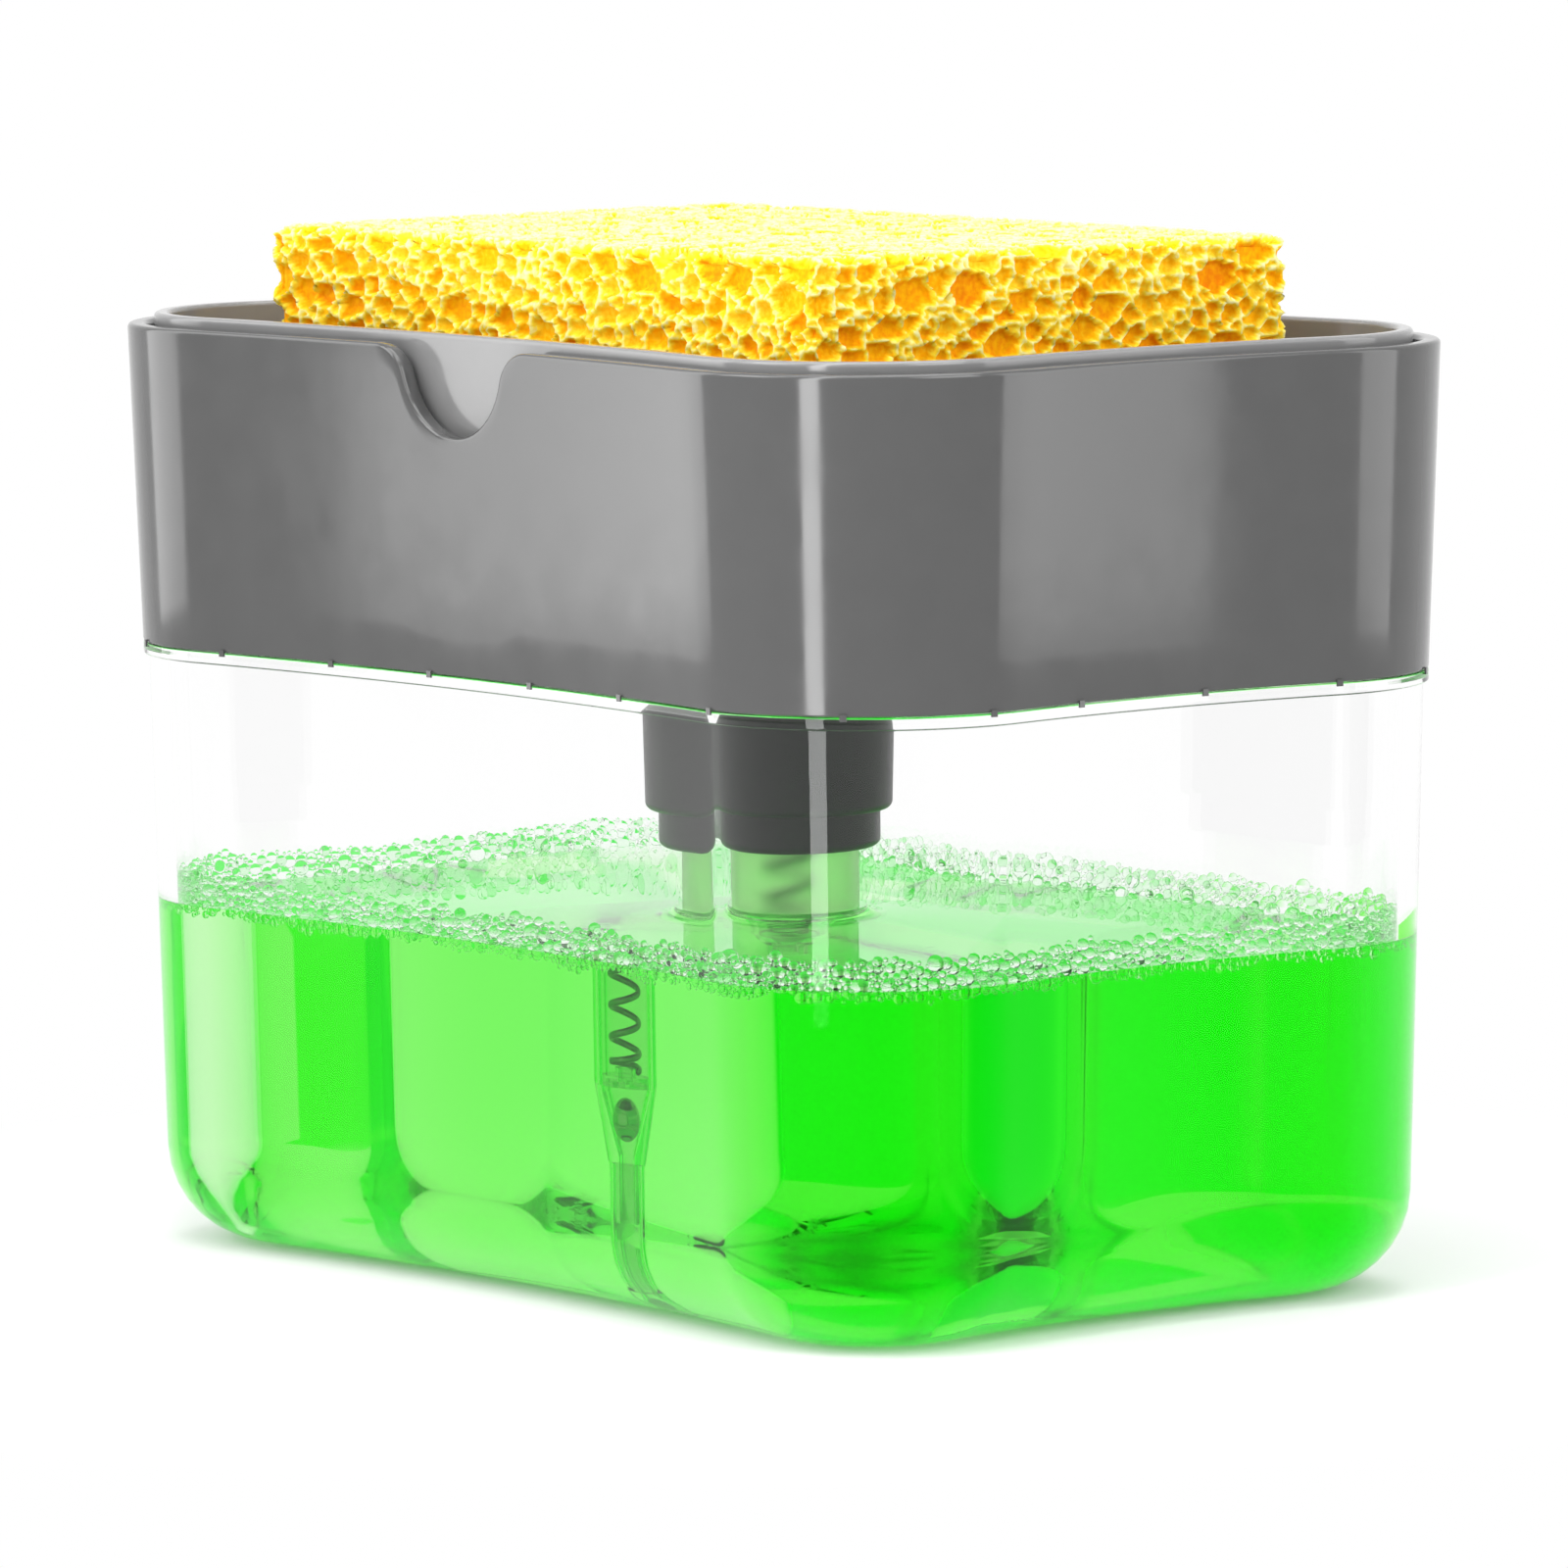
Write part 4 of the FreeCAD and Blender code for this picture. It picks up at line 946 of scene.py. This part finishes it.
class OBJECT_OT_caddy_finishes(bpy.types.Operator):
    """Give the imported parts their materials"""
    bl_idname = "object.caddy_finishes"
    bl_label = "Part finishes"

    def execute(self, context):
        finishes = {
            # The tray's lighter grey is painted light on the housing's plastic
            moulded_abs("moulded_abs_tray", colours().tray): ["press_tray"],
            dark_polypropylene(): ["collar_nut", "plunger_head"],
            natural_polypropylene(): ["pump_barrel", "dip_tube", "stem_guide", "ball_cage", "spring_seat",
                                      "plunger_stem"],
            soft_polyethylene(): ["piston_seal"],
            gasket_rubber(): ["barrel_gasket"],
            polished_ball(): ["inlet_ball", "outlet_ball"],
        }
        for material, nodes in finishes.items():
            for node in nodes:
                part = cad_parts[node]
                part.data.materials.clear()
                part.data.materials.append(material)
        return {"FINISHED"}


# Stage

# Turns that light may take inside the clear tank and between shiny faces
CLEAR_BOUNCES = 96
GLOSS_BOUNCES = 48
FLOOR_SIZE = 24
FLOOR_GAP = 0.0001
# Where the floor's shadow fades into white, and where the painted pool of green light under the tank does
SHADOW_REACH = (0.062, 0.14)
PAINTED_GREEN_REACH = (0.10, 0.13)
FILL_LIGHT = 0.3
# Name, place, aim, width, height and power of the lamps
CENTRE = (0.0, 0.0, 0.06)
LAMPS = (
    ("top_softbox", (0.05, 0.0, 0.8), CENTRE, 0.8, 0.6, 5.0),
    ("key_softbox", (-0.3, -0.6, 0.7), CENTRE, 0.5, 0.5, 4.0),
    ("fill_softbox", (0.75, 0.1, 0.6), CENTRE, 0.5, 0.5, 3.5),
    ("left_card", (-0.44, -0.27, 0.28), (0.0, -0.03, 0.28), 0.24, 0.56, 1.1),
    ("right_card", (0.36, 0.36, 0.25), (0.06, 0.0, 0.25), 0.22, 0.5, 0.8),
    ("corner_strip", (0.094, -0.153, 0.225), (0.05, -0.03, 0.225), 0.024, 0.45, 0.31),
)
# Reach and height of the light trough's edges
RING_PROFILE = ((0.05, 0.0002), (0.11, 0.0002), (0.11, 0.027), (0.082, 0.030))
# Its painted light at angles in degrees about the pump's axis: both ends of the turn, then the angles
# between them
RING_LIGHT = ((-180, "#6CFC6C"), (180, "#6CFC6C"), (-150, "#6CFC6C"), (-114, "#FFFFFF"), (-45, "#FFFFFF"),
              (-31, "#00F33F"), (28, "#00F33F"), (34, "#FFFFFF"), (60.5, "#FFFFFF"), (61, "#7CFC50"),
              (86, "#7CFC50"), (118, "#FFFFFF"), (149, "#FFFFFF"), (149.5, "#00ED30"), (154.5, "#00ED30"),
              (155, "#6CFC6C"))
# The camera that took the photograph: where it aims, from which side and how far away, its roll and lens
CAMERA_AIM = Vector((0.00364, -0.00184, 0.0504))
CAMERA_AZIMUTH = math.radians(51.234)
CAMERA_ELEVATION = math.radians(6.047)
CAMERA_ROLL = math.radians(-0.403)
CAMERA_DISTANCE = 1.14088
CAMERA_LENS = 253.1


class OBJECT_OT_caddy_stage(bpy.types.Operator):
    """Set the floor, the lamps, the white surroundings and the camera"""
    bl_idname = "object.caddy_stage"
    bl_label = "Stage"

    def execute(self, context):
        scene = context.scene
        scene.view_settings.view_transform = "Standard"
        scene.cycles.max_bounces = scene.cycles.transmission_bounces = CLEAR_BOUNCES
        scene.cycles.glossy_bounces = GLOSS_BOUNCES
        deselect()
        bpy.ops.mesh.primitive_plane_add(size=FLOOR_SIZE, location=(0, 0, -FLOOR_GAP))
        floor = context.object
        floor.name = "floor"
        bpy.ops.object.transform_apply(location=True)
        floor.data.materials.append(white_floor())
        white_world(scene)
        for lamp in LAMPS:
            softbox(scene, *lamp)
        light_ring()
        photo_camera(scene)
        return {"FINISHED"}


def sight(tree):
    """Whether the eye or a reflection sees a point, and whether a clear piece does."""
    path = add_node(tree, "LightPath")
    seen = add_node(tree, "Math", {0: path.outputs["Is Camera Ray"], 1: path.outputs["Is Glossy Ray"]},
                    operation="ADD", use_clamp=True)
    return seen.outputs[0], path.outputs["Is Transmission Ray"]


def white_floor():
    """Pale matt floor that the eye, reflections and clear pieces see as white, with the shadow kept; clear
    pieces see a painted pool of green light under the tank.
    """
    material, tree, shader = new_material("white_floor", Base_Color=linear("#F4F4F4"), Roughness=0.9)
    seen, through = sight(tree)
    place = add_node(tree, "TexCoord")
    away = add_node(tree, "VectorMath", {0: place.outputs["Object"]}, operation="LENGTH")
    far, painted_pool_fade = (
        add_node(tree, "MapRange", {"Value": away.outputs["Value"], "From Min": start, "From Max": end},
                 interpolation_type="SMOOTHSTEP") for start, end in (SHADOW_REACH, PAINTED_GREEN_REACH))
    share = add_node(tree, "Math", {0: seen, 1: far.outputs["Result"], 2: through},
                     operation="MULTIPLY_ADD", use_clamp=True)
    # Through the soap, the floor under the tank shows a painted pool of green light, a glow in place of the
    # light that the soap lets through
    green = add_node(tree, "Math", {0: through, 1: painted_pool_fade.outputs["Result"]},
                     operation="SUBTRACT", use_clamp=True)
    tone = add_node(tree, "Mix", {0: green.outputs[0], 6: linear("#FFFFFF"), 7: linear("#59F361")},
                    data_type="RGBA")
    glow = add_node(tree, "Emission", {"Color": tone.outputs[2], "Strength": 1.0})
    mixed_surface(tree, share.outputs[0], shader, glow)
    return material


def light_ring():
    """Low trough of green light round the tank that only the soap shows: it deepens its bands."""
    # Painted light: the trough's glow stands in for the floor round the tank, white where it is lit and
    # green where the soap's shadow falls on it
    spots = Outline(sizes()).stations()
    trough = lofted("light_ring", [round_ring(spots, *point) for point in RING_PROFILE])
    material, tree, shader = new_material("light_ring")
    place = add_node(tree, "TexCoord")
    turn = add_node(tree, "TexGradient", {"Vector": place.outputs["Object"]}, gradient_type="RADIAL")
    tone = add_node(tree, "ValToRGB", {"Fac": turn.outputs["Fac"]},
                    stops=[(degrees / 360 + 0.5, linear(code)) for degrees, code in RING_LIGHT])
    glow = add_node(tree, "Emission", {"Color": tone.outputs["Color"], "Strength": 1.0})
    # The trough shows from the tank's side alone
    side = add_node(tree, "NewGeometry")
    nothing = add_node(tree, "BsdfTransparent")
    mixed_surface(tree, side.outputs["Backfacing"], nothing, glow)
    trough.data.materials.append(material)
    for rays in ("camera", "diffuse", "glossy", "volume_scatter", "shadow"):
        setattr(trough, "visible_" + rays, False)


def white_world(scene):
    """White surroundings for the eye, reflections and clear pieces, and a plain fill light for the rest."""
    world = scene.world = bpy.data.worlds.new("white_surroundings")
    world.use_nodes = True
    tree = world.node_tree
    seen, through = sight(tree)
    white = add_node(tree, "Math", {0: seen, 1: through}, operation="ADD", use_clamp=True)
    fill = add_node(tree, "MapRange", {"Value": white.outputs[0], "To Min": FILL_LIGHT, "To Max": 1.0})
    tree.links.new(fill.outputs["Result"], tree.nodes["Background"].inputs["Strength"])
    tree.nodes["Background"].inputs["Color"].default_value = linear("#FFFFFF")


def softbox(scene, name, place, aim, width, height, power):
    """Rectangular lamp that faces a point and stays out of the picture."""
    lamp = bpy.data.lights.new(name, "AREA")
    lamp.shape = "RECTANGLE"
    lamp.size, lamp.size_y, lamp.energy = width, height, power
    holder = bpy.data.objects.new(name, lamp)
    scene.collection.objects.link(holder)
    holder.location = place
    holder.rotation_euler = (Vector(aim) - Vector(place)).to_track_quat("-Z", "Y").to_euler()
    holder.visible_camera = holder.visible_transmission = False


def photo_camera(scene):
    """Long lens at the photograph's place, turned to its aim and rolled as it was."""
    level = math.cos(CAMERA_ELEVATION)
    back = Vector((math.sin(CAMERA_AZIMUTH) * level, -math.cos(CAMERA_AZIMUTH) * level,
                   math.sin(CAMERA_ELEVATION)))
    right = Vector((math.cos(CAMERA_AZIMUTH), math.sin(CAMERA_AZIMUTH), 0))
    up = back.cross(right)
    turn = Matrix((right, up, back)).transposed() @ Matrix.Rotation(CAMERA_ROLL, 3, "Z")
    lens = bpy.data.cameras.new("photo_camera")
    lens.lens, lens.sensor_width, lens.sensor_fit = CAMERA_LENS, 36.0, "HORIZONTAL"
    lens.clip_start, lens.clip_end = 0.01, 100.0
    camera = bpy.data.objects.new("photo_camera", lens)
    scene.collection.objects.link(camera)
    camera.matrix_world = Matrix.Translation(CAMERA_AIM + back * CAMERA_DISTANCE) @ turn.to_4x4()
    scene.camera = camera


class VIEW3D_PT_caddy(bpy.types.Panel):
    """Sizes, colours and steps of the soap pump caddy"""
    bl_label = "Soap pump caddy"
    bl_space_type = "VIEW_3D"
    bl_region_type = "UI"
    bl_category = "Caddy"

    def draw(self, context):
        for group in GROUPS:
            settings = getattr(context.scene, group)
            box = self.layout.box()
            for name in settings.__annotations__:
                box.prop(settings, name)
        for operator in OPERATORS:
            self.layout.operator(operator.bl_idname)


GROUPS = {"caddy_shape": CaddyShape, "caddy_sponge": CaddySponge, "caddy_colours": CaddyColours}
OPERATORS = (OBJECT_OT_caddy_stage, OBJECT_OT_caddy_finishes, OBJECT_OT_caddy_tank, OBJECT_OT_caddy_soap,
             OBJECT_OT_caddy_primed_soap, OBJECT_OT_caddy_foam, OBJECT_OT_caddy_housing,
             OBJECT_OT_caddy_sponge, OBJECT_OT_caddy_spring)
CLASSES = (*GROUPS.values(), *OPERATORS, VIEW3D_PT_caddy)


def register():
    for cls in CLASSES:
        bpy.utils.register_class(cls)
    for name, cls in GROUPS.items():
        setattr(bpy.types.Scene, name, PointerProperty(type=cls))


def unregister():
    for name in GROUPS:
        delattr(bpy.types.Scene, name)
    for cls in reversed(CLASSES):
        bpy.utils.unregister_class(cls)


def main():
    register()
    bpy.ops.object.caddy_stage()
    bpy.ops.object.caddy_finishes()
    bpy.ops.object.caddy_tank()
    bpy.ops.object.caddy_soap()
    bpy.ops.object.caddy_primed_soap()
    bpy.ops.object.caddy_foam()
    bpy.ops.object.caddy_housing()
    bpy.ops.object.caddy_sponge()
    bpy.ops.object.caddy_spring()


if __name__ == "__main__":
    main()
